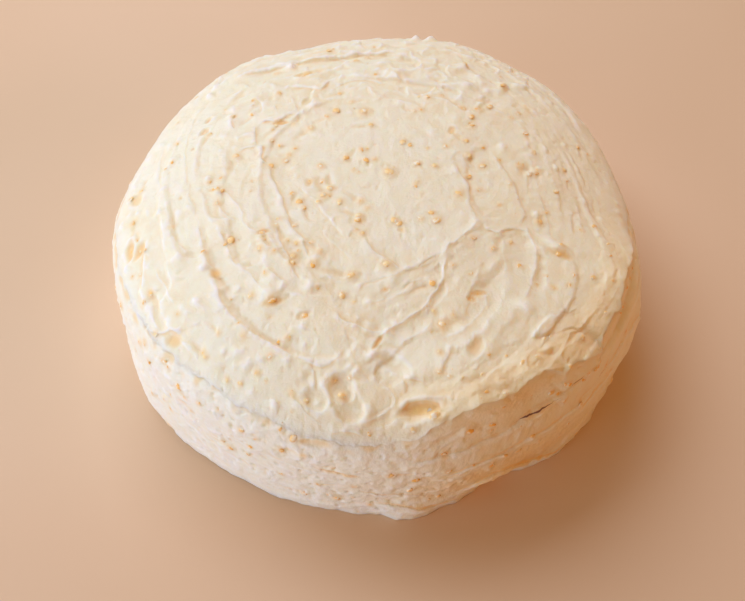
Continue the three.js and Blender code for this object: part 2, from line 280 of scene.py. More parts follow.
class Cake:
    """The plain cake before any knife mark, one profile turned round the axis, and where its fruit lies. A
    place on it is an azimuth and a distance from the middle of the top, measured along the coat."""

    def __init__(self, sizes):
        self.height, self.lip = millimetres(sizes.height), millimetres(sizes.lip)
        self.base_radius, self.belly_radius = millimetres(sizes.base_radius), millimetres(sizes.belly_radius)
        self.belly_height = millimetres(sizes.belly_height)
        self.marks = sizes.marks
        self.profile = self.measured_profile()
        self.coat_length = self.profile["distance"][-1]  # middle of the top to the edge of the base
        self.fruit = fruit_places(self, sizes)

    def dome(self, turn, power):
        radius = self.belly_radius * np.maximum(np.cos(turn), 0) ** (2 / power)
        rise = (self.height - self.belly_height) * np.maximum(np.sin(turn), 0) ** (2 / power)
        return radius, self.belly_height + rise

    def measured_profile(self):
        """The profile from the middle of the top to the edge of the base, against distance along it."""
        turn = np.linspace(math.pi / 2, 0, PROFILE_STEPS)
        radius, height = self.dome(turn, SHOULDER_POWER)
        down = np.linspace(1, 0, PROFILE_STEPS)[1:]
        lean = (self.belly_radius - self.base_radius) * np.sin(down * math.pi / 2)
        radius = np.append(radius, self.base_radius + lean)
        height = np.append(height, self.belly_height * down)
        distance = np.append(0, np.cumsum(np.hypot(np.diff(radius), np.diff(height))))
        turn = np.append(turn, np.zeros(len(down)))
        out, up = -np.gradient(height, distance), np.gradient(radius, distance)
        return {"distance": distance, "radius": radius, "height": height, "turn": turn, "out": out, "up": up}

    def at(self, distance):
        """The profile's radius, height, turn, and its way outwards, at distances along the coat."""
        measured = self.profile["distance"]
        return {key: np.interp(distance, measured, values) for key, values in self.profile.items()}

    def lip_thickness(self, azimuth, ragged=1):
        crisp = crispness(azimuth)
        varied = 1 + LIP_UNEVEN * ragged * crisp * noise(on_ring(azimuth), 3.0, 43)
        return (LIP_FAINT + (self.lip - LIP_FAINT) * crisp) * varied

    def lip_rim(self, azimuth, power, ragged=1):
        """Radius and height of the lip's edge, and the height of the plain form there."""
        plain = self.at(lip_edge(azimuth) if ragged else calm_lip_edge(azimuth))
        radius, height = self.dome(plain["turn"], power)
        thick = self.lip_thickness(azimuth, ragged)
        return radius + swelling(azimuth, height) + plain["out"] * thick, height + plain["up"] * thick, height


# ---- Where the cream is thin, and where painted warm shade lies ----
THIN_HALF = (-152, -78)  # azimuths between which the side coat is thin and rough over the sponge
THIN_SOFT = 14
THIN_FROM = (114, 135)  # distances along the coat over which it grows thin
THIN_CALMER = 0.65  # how much shallower the knife's marks are there
THIN_LEAST = 0.6  # how thin it is between the patches where it is thinnest, 1 being as thin as in them
THIN_PATCHES = (9, 25)  # the patches' size and seed

# Painted warm shade, in the juice colour, on the right-hand side, which the table's light reaches and the
# windows' light hardly does: azimuth, its spread, nearest and farthest distance along the coat, and its
# share.
WARM_SHADE = (
    (-50, 36, 98, 124, 0.44),
    (-66, 16, 155, 176, 0.45),
    (-58, 28, 118, 176, 0.26),
    (-20, 60, 55, 112, 0.12),
)
WARM_SHADE_SOFT = 8


# Share of painted warm shade at each place.
def warm_shade(azimuth, distance):
    painted_share = 0.0
    for middle, spread, near, far, share in WARM_SHADE:
        painted_share = painted_share + share * bell(turned(azimuth - middle), spread) * between(near, far, WARM_SHADE_SOFT, distance)
    return painted_share


# ---- Knife marks ----
# Marks on the top lie on the coat unrolled about the middle of the top: x, y in millimetres, x to the
# right, y away, and the distance from the middle measured along the coat. Marks on the side are given by
# azimuth and height. Swipes, folds, ridges and slits have a track through two or more spots, and left and
# right are as seen when going along it.

# A swipe is a knife's track: width, depth, lean (1 digs in its left edge, -1 its right edge, 0 the middle)
# and the crest of cream pushed up at that edge and at its end; then its spots.
FLANK_SWIPES = (
    (15, 0.6, 1, 0.2, (-76, 92), (-103, 47), (-110, 8), (-100, -48)),
    (15, 0.7, -1, 0.3, (-66, 80), (-88, 44), (-91, 8), (-82, -30)),
    (13, 0.7, -1, 0.3, (-52, 76), (-71, 46), (-76, 14), (-70, -12)),
    (15, 0.7, -1, 0.3, (76, 66), (98, 32), (106, -6), (104, -40)),
    (14, 0.6, 1, 0.3, (66, 62), (80, 32), (88, 0), (86, -30)),
    (12, 0.8, 1, 0.3, (100, -18), (100, -50), (78, -84)),
    (12, 0.7, -1, 0.4, (84, -24), (82, -54), (62, -86)),
)
FAR_SWIPES = (
    (13, 1.8, 1, 0.2, (-70, 72), (-50, 79), (-20, 85), (0, 87), (13, 82)),
    (9, 0.7, 1, 0.3, (-46, 64), (-10, 66), (34, 58)),
    (13, 0.8, 1, 0.3, (20, 92), (54, 83), (78, 58)),
    (12, 0.7, 1, 0.3, (-30, 108), (12, 113), (60, 104)),
)
NEAR_SWIPES = (
    (22, 1.1, -1, 0.1, (-68, -18), (-63, -42), (-52, -62), (-36, -76), (-20, -80)),
    (11, 1.0, -1, 0.1, (-62, -8), (-60, -26), (-56, -40)),
    (9, 1.0, -1, 0.1, (-62, 14), (-66, 2), (-66, -14)),
    (9, 1.2, -1, 0.2, (-50, 6), (-44, -18), (-36, -34), (-24, -50)),
    (14, 1.4, -1, 0.1, (-14, -64), (4, -60), (20, -50)),
    (13, 1.3, -1, 0.2, (-12, -72), (6, -69), (22, -58)),
    (9, 1.2, 1, 0.3, (64, -56), (52, -74), (34, -92)),
    (10, 1.1, -1, 0.2, (30, -78), (14, -86), (3, -98)),
    (10, 1.0, 0, 0.2, (50, -40), (46, -56), (36, -70)),
    (8, 0.9, 1, 0.3, (44, -84), (60, -78), (76, -74)),
    (5, 1.5, 0, 0.3, (-111, -44), (-109, -52), (-106, -63), (-103, -69)),
    (5, 1.5, 0, 0.3, (-104, -48), (-101, -55), (-98, -63), (-94, -71)),
    (8, 1.0, 0, 0.3, (-92, -76), (-84, -86), (-76, -96)),
    (12, 1.3, 0, 0.1, (-18, -96), (-16, -104), (-12, -112)),
    (9, 1.0, 0, 0.2, (-30, -94), (-30, -102), (-26, -108)),
)

# A flat is an oval pressed level: middle x, y, half its length and width, the azimuth of its length, how
# deep it lies and the azimuth of the side where it digs in most.
FLATS = (
    (-7, 3, 52, 46, 98, 0.8, 176),
    (52, -2, 25, 12, 100, 0.8, 172),
    (59, -43, 16, 8.5, 84, 0.8, 15),
    (-36, -33, 17, 9, 118, 0.7, 200),
)

# Ripples are soft waves left by a knife that chattered: their middle, how far they spread, the azimuth that
# they run along, and their height.
RIPPLES = (
    ((42, -78), 34, 48, 0.7),
    ((-14, 96), 36, 10, 0.7),
    ((-78, 60), 26, 60, 0.4),
    ((-80, -60), 30, 125, 0.4),
    ((84, 20), 30, 95, 0.4),
)

# A fold is the edge of a sheet of cream: height of the step, how far it reaches to each side, then its
# spots. The sheet lies on the left of the track.
FOLDS = (
    (1.1, 5, (-56.5, 39.5), (-52.5, 41), (-47.5, 38.5), (-46, 41), (-42.5, 44), (-38, 44.5)),
    (1.0, 5, (-56.5, 25.5), (-57.5, 32.5), (-58, 38.5)),
    (0.8, 5, (-65, 22), (-62, 23), (-59, 24), (-56.5, 25)),
    (1.5, 7, (-50.5, 13.5), (-53.5, 16), (-54, 20.5), (-54, 25.5)),
    (0.9, 6, (-29, -45), (-32, -38), (-33.5, -34), (-33.5, -31), (-37.5, -26.5), (-39.5, -22.5),
     (-41, -17), (-44, -7), (-48, 4), (-51, 13.5)),
    (1.0, 6, (-32, -55), (-35, -52), (-38.5, -45), (-39, -41.5), (-41, -37.5), (-43.5, -32), (-44.5, -28),
     (-45.5, -22.5)),
    (0.5, 6, (-47, 44), (-49, 52)),
    (0.5, 5, (-37.5, 45), (-39.5, 51), (-42, 59.5)),
    (0.8, 3.5, (-62.5, 55.5), (-61, 57.5), (-58.5, 57), (-56, 54), (-55, 48.5), (-56.5, 46)),
    (0.7, 4, (-67.5, 37), (-69, 40.5), (-69, 44.5), (-68, 48.5)),
    (1.0, 5, (-43.5, 65.5), (-35.5, 64.5), (-28, 61), (-24.5, 68), (-22, 70)),
    (0.45, 6, (-86.5, -2), (-88.5, 7), (-90.5, 19.5), (-92.5, 33), (-91.5, 44), (-89.5, 54),
     (-84.5, 65.5)),
    (0.4, 6, (-102, 5), (-105.5, 19), (-107, 29), (-106.5, 39)),
    (1.0, 7, (-70, 79), (-59, 83), (-51, 85.5), (-43.5, 86.5), (-33, 90), (-19.5, 91.5), (-13, 93),
     (-2.5, 93.5), (6.5, 94), (13.5, 89)),
    (0.6, 5, (-23.5, 61.5), (-15, 67), (-6.5, 69), (1, 65), (4, 67.5)),
    (0.5, 4, (27.5, 64), (31.5, 58)),
    (0.5, 4, (-38, 1), (-34.5, -3.5), (-31, -8), (-25.5, -17), (-20.5, -25), (-15.5, -31), (-13.5, -32)),
    (0.4, 4, (-13.5, -31), (-12, -28), (-10, -27)),
    (0.8, 5, (11, -48.5), (8, -47.5), (5, -45), (2.5, -42.5), (-3, -38.5), (-6.5, -31.5)),
    (0.3, 6, (-27, -24), (-20.5, -34), (-13.5, -42), (-10.5, -45.5)),
    (0.6, 5, (-9.5, -61.5), (-9, -59), (-6.5, -55.5), (-2, -54), (2, -53), (6.5, -51.5), (11.5, -49),
     (17, -47.5), (21.5, -45.5), (26, -42.5)),
    (0.6, 4, (9.5, -59), (10, -57.5), (13, -55.5), (16.5, -54.5), (19, -52)),
    (0.5, 5, (-7.5, -66.5), (-2, -65), (4.5, -63), (8.5, -61), (13, -60), (17, -57.5), (20, -55)),
    (0.6, 4, (8.5, -49), (11, -48.5), (15, -47.5), (19.5, -44.5), (23.5, -42), (28, -39.5)),
    (0.8, 5, (42.5, -23), (42, -18.5), (40.5, -15), (40, -11), (40, -5.5), (40, -1), (36.5, 5.5),
     (34.5, 9.5), (33, 14)),
    (0.5, 3, (34.5, 12.5), (33, 15), (36, 19.5)),
    (0.4, 3, (43, 6), (41, 9), (39, 12.5), (37, 18.5)),
    (0.8, 4, (44, -23), (45.5, -24), (46.5, -26.5), (49.5, -27.5), (52.5, -28), (55, -26), (58, -25),
     (60.5, -25.5), (63.5, -26.5), (65, -26.5)),
    (0.7, 5, (61.5, -25), (62, -21), (64, -17), (63.5, -13), (62.5, -8.5), (60.5, 0), (56, 10.5),
     (51, 21.5)),
    (0.35, 3, (52.5, -29), (53, -34), (53.5, -44.5), (52.5, -49), (50.5, -50), (50, -48), (51, -43.5),
     (53, -40)),
    (0.5, 3, (66, -5.5), (66, -1), (67, 4), (67, 9)),
    (0.6, 5, (73, -32.5), (73.5, -25), (74, -19.5), (72.5, -7.5), (70.5, -1.5)),
    (0.5, 3, (81, -13), (82, -7.5), (81.5, -3.5)),
    (0.8, 3.5, (82.5, -26), (82.5, -22.5), (84.5, -16.5), (88.5, -11)),
    (0.4, 4, (86, -22.5), (90, -16), (93.5, -3)),
    (0.6, 6, (100.5, 5.5), (100.5, 13.5), (98, 22), (95, 31.5)),
    (0.4, 5, (101.5, -10), (102, -3.5), (102.5, 3)),
    (0.8, 5, (2, -78.5), (-2, -78.5), (-6, -77.5), (-10.5, -75.5), (-14, -74), (-16.5, -72.5),
     (-17.5, -70), (-17.5, -67.5)),
    (0.3, 6, (-4, -102), (-6, -99.5), (-8, -96.5), (-11, -90), (-12, -86.5), (-14, -79.5), (-15, -75.5)),
    (0.8, 5, (-37.5, -87), (-33, -90), (-29, -92.5), (-25, -94), (-20.5, -92.5), (-16.5, -89.5),
     (-14.5, -87)),
    (0.7, 5, (-27, -104.5), (-27.5, -99), (-28, -95.5), (-31, -92)),
    (0.35, 2.5, (-4, -114.5), (0, -112.5), (3, -110.5), (4, -108), (3, -105.5)),
    (0.9, 4, (9, -105), (10.5, -103), (10, -100), (9, -98)),
    (0.9, 4, (9.5, -97.5), (13, -97.5), (16, -97.5), (17.5, -98.5)),
    (1.6, 4, (8.5, -113), (11, -109.5), (14.5, -107.5), (18, -106.5), (22, -107), (24, -108),
     (24.5, -112)),
    (0.5, 4, (23.5, -113), (18.5, -114), (12.5, -115), (8, -115.5), (4, -117.5), (-3.5, -120.5)),
    (0.6, 3, (34.5, -69), (36, -66), (38, -63)),
    (0.5, 4, (20, -70.5), (20, -68.5), (21.5, -65.5), (22.5, -62)),
    (0.8, 5, (23.5, -92), (24, -88.5), (26, -84), (29, -80)),
    (0.4, 2, (35.5, -89.5), (37, -88), (37, -86)),
    (0.4, 2, (28.5, -107), (29, -104.5), (28, -101)),
    (0.5, 5, (-23, -118.5), (-27.5, -116), (-31.5, -112.5), (-33.5, -108.5), (-38, -105)),
    (0.4, 4, (56, -74), (59, -73), (61.5, -70), (63.5, -65), (65, -57.5), (66, -50)),
    (0.7, 4, (61, -80), (63, -77), (66, -73.5)),
    (0.6, 3, (71, -61), (73, -62), (77, -60.5)),
    (0.5, 3, (65, -100), (63, -104.5)),
    (0.8, 4, (-21.5, -121), (-12.5, -121), (-7.5, -123)),
    (1.2, 5, (-104, -67.5), (-97.5, -71), (-91, -70.5), (-86.5, -73.5)),
    (1.0, 6, (-89, -84), (-83, -91.5), (-78.5, -95.5), (-74.5, -100.5), (-65, -108), (-53, -114),
     (-41, -119.5), (-34.5, -121)),
    (0.4, 3, (-46.5, -114), (-44, -111.5), (-43, -109), (-44.5, -106.5), (-50, -106)),
    (0.8, 6, (-33.5, -89.5), (-42, -85), (-49.5, -80), (-57, -75), (-62.5, -68.5), (-67, -62),
     (-69, -57.5), (-70.5, -53.5), (-72, -47.5)),
    (0.6, 4, (-63, -20), (-67, -17), (-70, -13.5), (-72, -10), (-73, -5.5)),
    (0.8, 5, (-60.5, -45), (-62.5, -42.5), (-65, -38), (-67, -34.5), (-68.5, -30), (-70, -24.5)),
    (0.6, 4, (-39.5, -55.5), (-42.5, -53), (-45.5, -49.5), (-49, -46.5)),
    (0.5, 4, (-84.5, -15.5), (-83, -14.5), (-83, -10), (-85, -5.5), (-86.5, 1.5), (-86.5, 7)),
    (0.6, 5, (-70, -46.5), (-73, -43.5), (-75.5, -40.5), (-77.5, -34.5), (-78, -30.5), (-79.5, -25.5),
     (-81, -19.5)),
    (0.35, 5, (-83.5, -36), (-89.5, -27.5), (-96, -17.5)),
    (1.0, 5, (-107.5, -22.5), (-106, -27.5), (-106.5, -34), (-106.5, -40.5), (-106.5, -48)),
)

# A ridge is a crest of pushed-up cream, steeper on its right: height, then its spots.
RIDGES = (
    (1.3, (-2, -85.5), (0, -81.5), (4, -78.5), (8.5, -74.5), (11.5, -72.5), (16, -69.5), (19.5, -65.5),
     (21, -62), (24, -59), (26, -55), (27, -51), (28, -45.5), (29, -41.5)),
    (1.3, (26, -42), (28, -39.5), (30, -35.5), (32.5, -34), (36, -31), (39.5, -27.5), (42.5, -23)),
    (1.6, (57.5, -59), (59.5, -55.5), (61.5, -52), (63.5, -47.5), (65.5, -42.5), (66.5, -36), (66.5, -33),
     (65.5, -28), (64, -22.5)),
    (0.6, (-11.5, -104), (-10.5, -107), (-12.5, -108.5), (-16.5, -109), (-20, -107), (-21.5, -104.5),
     (-21.5, -101), (-22, -97.5), (-24, -95.5)),
    (0.9, (-7.5, -117.5), (-3.5, -116.5), (0, -115), (3, -113), (5.5, -110), (6.5, -108), (5.5, -105.5),
     (2.5, -103), (0, -100.5)),
    (0.9, (25.5, -78), (29.5, -76), (33.5, -74), (38, -70.5), (40.5, -68), (42.5, -64.5), (44, -61.5),
     (44, -58.5), (42.5, -58), (39.5, -60)),
    (0.8, (4, -89), (6, -87), (8, -84), (10.5, -81.5), (14.5, -79), (18.5, -77), (21.5, -74),
     (22, -71.5)),
    (0.9, (69.5, -86), (71, -83.5), (74.5, -73.5), (78.5, -72), (81.5, -68.5), (82.5, -63.5)),
    (0.7, (-53, -28), (-57, -24.5), (-60, -20.5), (-61, -16), (-63, -10.5), (-66, -6), (-69, -3),
     (-72.5, -1)),
    (0.6, (-47, -60), (-50, -57.5), (-53.5, -52), (-56.5, -48), (-60.5, -45.5)),
    (0.8, (-97, -69), (-100, -64), (-102, -54)),
    (0.8, (-89, -59.5), (-92.5, -53), (-95.5, -47), (-99, -40)),
)

# A hollow is an oval dip: middle x, y, half its length and width, the azimuth of its length, its depth, and
# how much juice colour lies in it, which is partly juice and partly painted shade in the hollow.
HOLLOWS = (
    (-34, 53, 3, 1.8, 60, 0.8, 0.3), (6.5, -92.5, 5.5, 3.2, 150, 1.0, 0.1),
    (-73.5, -110.5, 5, 1.2, 56, 1.0, 0.3), (-31.5, 0.5, 2.2, 1.4, 110, 0.7, 0.3),
    (9.5, -28, 1.8, 1.3, 110, 0.6, 0.3), (2, -58.5, 1.6, 1.2, 150, 0.6, 0.3),
    (39.5, 48, 2.4, 2.0, 0, 0.7, 0.3), (-82, 48, 2.2, 1.5, 70, 0.9, 0.5),
    (-83, 39.5, 3.2, 1.5, 50, 1.0, 0.4), (17.5, -111.3, 9, 4.2, 20, 1.9, 1.0),
    (36.5, -79.5, 4, 2.2, 60, 0.7, 0.5), (33.5, 32, 2.2, 1.6, 80, 1.0, 0.6),
    (-32, -70.5, 3, 1.5, 20, 0.8, 0.4), (-15, -102.5, 5, 4, 110, 0.7, 0.1),
    (-71, -47.5, 2.6, 2.2, 80, 0.5, 1.0), (-72.5, -1.5, 4.2, 1.5, 160, 0.5, 0.9),
    (-65, -31, 2.6, 2.2, 60, 0.5, 0.9), (-51, -27.5, 3.2, 1.2, 5, 0.8, 0.9),
    (-36, 76, 4.4, 2.4, 10, 1.2, 1.0), (-115, -25, 5, 2.2, 80, 1.4, 0.8),
    (-109.5, -27, 4.5, 2.8, 60, 1.2, 0.8), (-90, -75, 4, 3, 150, 1.0, 0.7),
    (-45, -64, 4.6, 1.6, 10, 0.4, 0.9), (38.5, -62, 2, 1.2, 20, 0.8, 1.0),
    (41.5, -59, 3.5, 1.1, 20, 0.8, 0.9), (-1, -84, 3.6, 1.0, 50, 0.8, 0.9),
    (74, -36, 4, 2.0, 160, 0.5, 0.9), (-115, 5, 4, 3, 110, 0.8, 0.5), (-46, 39, 4, 1.6, 10, 0.8, 0.9),
)

# A peak is a tip of cream that the knife pulled up as it left: x, y, height, and how far it reaches.
PEAKS = (
    (-43.5, 84, 2.4, 2.6), (19.5, 117, 2.0, 2.6), (26.5, 116, 2.0, 2.6), (60, 69, 1.2, 3.0),
    (42, 64.5, 1.0, 3.5), (42, 83.5, 1.0, 3.0), (71.5, 74, 1.2, 3.0), (7.5, 73.5, 0.6, 5.0),
    (-52, 8, 1.0, 5.0), (69.5, -16, 1.2, 1.8), (-3, -88.5, 1.6, 2.4), (73.5, -32, 1.8, 3.2),
    (-10, -96.5, 0.9, 1.6), (57.5, -61.5, 1.3, 2.4), (64.5, -80, 1.4, 2.2), (-47, -60, 1.8, 5.0),
    (-122, -9, 1.6, 3.0), (-33, -32.5, 1.0, 2.2), (-29.5, -56.5, 1.4, 3.0), (-28, -42, 1.0, 2.4),
    (-90, -37.5, 0.9, 4.0), (-83, 69, 1.0, 2.4), (42.5, -22.5, 0.8, 2.2), (28, -40, 0.6, 3.0),
    (66.5, -35, 0.8, 3.0), (-60, -44, 0.8, 3.0), (-58, 58, 0.6, 3.0), (12, -98, 0.6, 2.0),
)

# Folds on the side, where a spot is an azimuth and a height.
SIDE_FOLDS = (
    (1.1, 5, (-45.4, 61.4), (-52.9, 59.3), (-59.8, 56.2), (-66.3, 53.2), (-73.6, 51.5), (-79.9, 50.2),
     (-86.1, 48.4)),
    (0.6, 5, (-71, 33.5), (-74, 32.6), (-79, 32.4)),
    (1.8, 7, (-39, 48), (-42.5, 45.8), (-48.3, 41.3), (-56.2, 39.9), (-62.5, 38.4), (-68, 37.5),
     (-72.5, 36), (-80, 31.8)),
    (2.5, 7, (-43, 1), (-47, 2), (-51, 6), (-54, 11), (-59, 18), (-63, 21), (-68, 19), (-75, 12)),
    (1.8, 5, (-72, 5), (-76, 6), (-80, 8), (-86, 12), (-92, 13)),
    (1.0, 7, (-76, 22), (-84, 20), (-95, 24)),
    (0.4, 8, (-92, 40), (-104, 38), (-118, 42), (-128, 40)),
    (0.4, 8, (-112, 22), (-128, 26), (-142, 35)),
    (1.6, 7, (-30, 30), (-38, 36), (-46, 34)),
    (1.4, 7, (-18, 44), (-27, 48), (-38, 44)),
)

# A slit is where the side coat has parted: depth, half its width, then its azimuths and heights.
SLITS = (
    (0.5, 0.26, (-61.8, 55.5), (-58.6, 56.3), (-55.8, 57.2), (-52.4, 58.8)),
    (0.3, 0.12, (-49.5, 61), (-47.5, 62.3), (-45.5, 63.8)),
    (0.3, 0.15, (-39.8, 47.3), (-37.0, 48)),
    (0.3, 0.05, (-103.5, 41.9), (-98, 39.5), (-93, 38.4)),
    (0.4, 0.4, (-45.8, 1.6), (-44.6, 3.2)),
)

# The knife went along the rim at the far side, in strokes that overlap, and round the upright side.
FAR_RIM = {"swipes": 7, "from": 18, "to": 138, "span": 32, "distance": 112, "stagger": 4}
FAR_RIM_STROKE = {"width": 12, "depth": 0.9, "crest": 0.5}
SIDE_SWIPES = {"swipes": 26, "low": 7, "high": 60, "span": (34, 78), "slope": 9}
SIDE_STROKE = {"width": (11, 19), "depth": (0.7, 1.7), "crest": (0.02, 0.2)}
SIDE_SWIPES_SEED = 9
GOLDEN_TURN = 137.5  # degrees from one seeded swipe to the next, so that they never line up into rings
GOLDEN_SHARE = 0.618

SWIPE_DEPTH = 0.6  # what a depth in the tables comes out at, once neighbouring marks have softened it
CREST_HEIGHT = 0.6  # the same for the crests of swipes
FOLD_HEIGHT = 0.65  # the same for folds
RIDGE_HEIGHT = 0.5  # the same for ridges
EVENED = 0.8  # how much of what was there before a swipe or a flat evens out
STRIAE = 0.10  # height of the fine lines that a knife's edge draws
SIDE_STRIAE = 0.3  # how much of them shows on the side
FLAT_CREST = 0.1  # height of the crest round a flat
CREASE_SHADE = 0.2  # how much painted shade, in the juice colour, lies in the crease under a fold 1 mm high
SIDE_CREASE_SHADE = 0.06  # and under one on the side
FAR_ROUGHER = 0.45  # how much deeper the marks are at the far side
FAR_SIDE = (40, 75)  # how far away they start to deepen, and where they are deepest


def rim_swipe(start, end, near, far, width, depth, lean, crest):
    """A swipe along the rim, from one azimuth and distance to another."""
    shares = (0, 0.33, 0.67, 1)
    spots = [on_coat(start + (end - start) * part, near + (far - near) * part) for part in shares]
    return (width, depth, lean, crest, *spots)


def far_rim_swipes():
    made = []
    for i in range(FAR_RIM["swipes"]):
        start = FAR_RIM["from"] + (FAR_RIM["to"] - FAR_RIM["from"]) * i / (FAR_RIM["swipes"] - 1)
        lean = 1 if i % 2 else -1
        near = FAR_RIM["distance"] + FAR_RIM["stagger"] * lean
        end, far = start + FAR_RIM["span"], near + FAR_RIM["stagger"]
        made.append(rim_swipe(start, end, near, far, lean=lean, **FAR_RIM_STROKE))
    return made


def side_swipes(coat_length):
    """Seeded swipes round the upright side, each a little up or down."""
    draw = np.random.default_rng(SIDE_SWIPES_SEED)
    low, high = SIDE_SWIPES["low"], SIDE_SWIPES["high"]
    made = []
    for i in range(SIDE_SWIPES["swipes"]):
        start = turned(GOLDEN_TURN * i)
        height = low + (high - low) * (GOLDEN_SHARE * i % 1)
        end = start + draw.uniform(*SIDE_SWIPES["span"]) * draw.choice((-1, 1))
        slope = draw.uniform(-1, 1) * SIDE_SWIPES["slope"]
        near, far = coat_length - height - slope, coat_length - height + slope
        width, depth = draw.uniform(*SIDE_STROKE["width"]), draw.uniform(*SIDE_STROKE["depth"])
        lean, crest = draw.choice((-1, 1)), draw.uniform(*SIDE_STROKE["crest"])
        made.append(rim_swipe(start, end, near, far, width, depth, lean, crest))
    return made


SMEARS_SEED = 5
# Least and most of a smear: degrees that it spans 60 mm from the middle, height and reach.
SMEAR = {"span": (10, 26), "height": (0.25, 0.65), "reach": (3, 7)}
# Least and most of a dab: its bend in radians, its steps' length, height and reach.
DAB = {"bend": (-1.2, 1.2), "step": (2.5, 7), "height": (0.15, 0.45), "reach": (1.5, 3.5)}


def smears(count, low, high, spread):
    """Seeded short folds that follow the rim, where the knife went round, in the form of FOLDS."""
    draw = np.random.default_rng(SMEARS_SEED + count)
    made = []
    for _ in range(count):
        azimuth, distance = draw.uniform(-180, 180), draw.uniform(low, high)
        span = draw.uniform(*SMEAR["span"]) * draw.choice((-1, 1)) * 60 / max(distance, 40)
        drift = draw.uniform(-spread, spread)
        spots = [on_coat(azimuth + span * part, distance + drift * part) for part in (0, 0.5, 1)]
        made.append((draw.uniform(*SMEAR["height"]), draw.uniform(*SMEAR["reach"]), *spots))
    return made


LIP_CALM = 0.65  # how much fewer lumps show behind the crisp half of the lip, where the knife left it calm
LIP_CALM_FROM = (50, 80)  # distances over which the calm grows
LIP_CALM_END = 124  # and where it ends


def lumpiness(azimuth, distance):
    """How much of the small lumps shows."""
    calm = crispness(turned(azimuth), 10) * smooth(*LIP_CALM_FROM, distance) * (distance < LIP_CALM_END)
    return 1 - LIP_CALM * calm


def dabs(count, low, high, middle=0, spread=180, strength=1.0):
    """Seeded touches of the knife's tip, a few millimetres long and any way round, in the form of FOLDS."""
    draw = np.random.default_rng(SMEARS_SEED + 3 * count)
    made = []
    for _ in range(count):
        azimuth, distance = draw.uniform(middle - spread, middle + spread), draw.uniform(low, high)
        x, y = on_coat(azimuth, distance)
        way, bend, step = draw.uniform(0, 2 * math.pi), draw.uniform(*DAB["bend"]), draw.uniform(*DAB["step"])
        spots = [(x, y)]
        for turn in (way - 0.5 * bend, way + 0.5 * bend):
            x, y = x + step * math.cos(turn), y + step * math.sin(turn)
            spots.append((x, y))
        height = strength * draw.uniform(*DAB["height"]) * lumpiness(azimuth, distance)
        made.append((height, draw.uniform(*DAB["reach"]), *spots))
    return made


# Small bits and lumps that the cream covers: how many, and from which distance to which.
COVERED = {"top": (420, 25, 124), "side": (160, 124, 172)}
COVERED_REACH = (1.3, 1.4)  # the least that one reaches, and what chance adds at most
COVERED_HEIGHT = (0.15, 0.42)  # least and most height, as shares of the reach
COVERED_FROM = (10, 80)  # distances over which they come to stand out in full
COVERED_SEED = 14


def covered_bits(on_side):
    """Seeded mounds over buried bits, in the form of PEAKS; they stand out more towards the rim."""
    count, low, high = COVERED["side" if on_side else "top"]
    draw = np.random.default_rng(COVERED_SEED + count)
    azimuth = draw.uniform(-180, 180, count)
    distance = np.sqrt(draw.uniform(low**2, high**2, count))
    reach = COVERED_REACH[0] + COVERED_REACH[1] * draw.uniform(0, 1, count) ** 2
    height = draw.uniform(*COVERED_HEIGHT, count) * reach * smooth(*COVERED_FROM, distance)
    height = height * lumpiness(azimuth, distance)
    return list(zip(*on_coat(azimuth, distance), height, reach))


# ---- A coat's surface ----
# Layers of unevenness: height, size of the lumps, and seed.
STRAY_ACROSS = ((0.9, 8, 1), (0.35, 2.8, 2))  # how far a mark strays from its place to the right
STRAY_AWAY = ((0.9, 8, 3), (0.35, 2.8, 4))  # and away or up
FAR_LUMPS = ((0.8, 14, 17), (0.6, 7, 18))  # soft lumps at the far side
FOOT_LUMPS = ((1.2, 13, 21), (0.6, 4, 22))  # where the side meets the table
GRAIN = ((0.07, 2.0, 11), (0.06, 1.3, 12))
LUMPS = ((0.14, 4.2, 13), (0.2, 7.5, 15))

LIP_STEP = 0.2  # how far the lip's edge stands out over the upright wall under it
WALL_LEAN = 0.14  # how far out that wall goes for each millimetre down
WALL_FOOT = ((-100, 46), (-86, 48), (-73, 51), (-66, 52.7), (-60, 55.7), (-53, 58.8), (-45, 61), (-14, 64))
WALL_LIFT = 6  # how far down the wall's heights are drawn up to meet the lip
WALL_SOFT = 1.6  # half the height over which the wall's foot steps out to the plain form
WALL_NOTCHED = (-7, -1)  # how far below the lip's edge the wall starts to take up its notches, and has them
LOOSE_BELOW = 0.05  # how much less the side coat stands out than the lip's loose edge
LOOSE_RISE = (-25, 0)  # how far below that edge it starts to stand out, and where it does in full
FOOT_HEIGHT = 5  # how far up the foot's lumps go
FOOT_IN = 0.6  # how far in the foot draws among them
LIP_SHADE_LINE = (1.5, 2.5)  # how far under the lip's loose edge the painted shade of its crease lies, and how wide it is
LIP_SHADE_PATCHES = (6, 24)  # size and seed of the patches where that painted shade shows
LIP_SHADE_STRENGTH = 0.6  # and how strong that painted shade is, in the juice colour
EDGE_ROUND = 0.6  # radius of the lip's edge where it is crisp
EDGE_ROUND_LOOSE = 0.3  # share of that radius where it isn't
TUCK = 7  # how far the side coat goes on under the top coat
TUCK_IN = 4.5  # and how far in it steps there
TUCK_SOFT = 3.5  # over which distance
ROUGH_THIN = 2.6  # how much rougher the side coat is where it is thin
ROUGH_SIDE = 0.5  # and all round the side
BASE_CALM = 6  # height over which the marks fade in above the flat base
MEETING = 4  # how near the lip's loose edge the marks fade, so that both coats meet smoothly
MEETING_CALM = 0.75  # how much they fade there
NOWHERE = 9.0  # millimetres to an edge or a slit that isn't there
WIDEST_EDGE = 2.2  # how far from an edge the cream still takes its colour

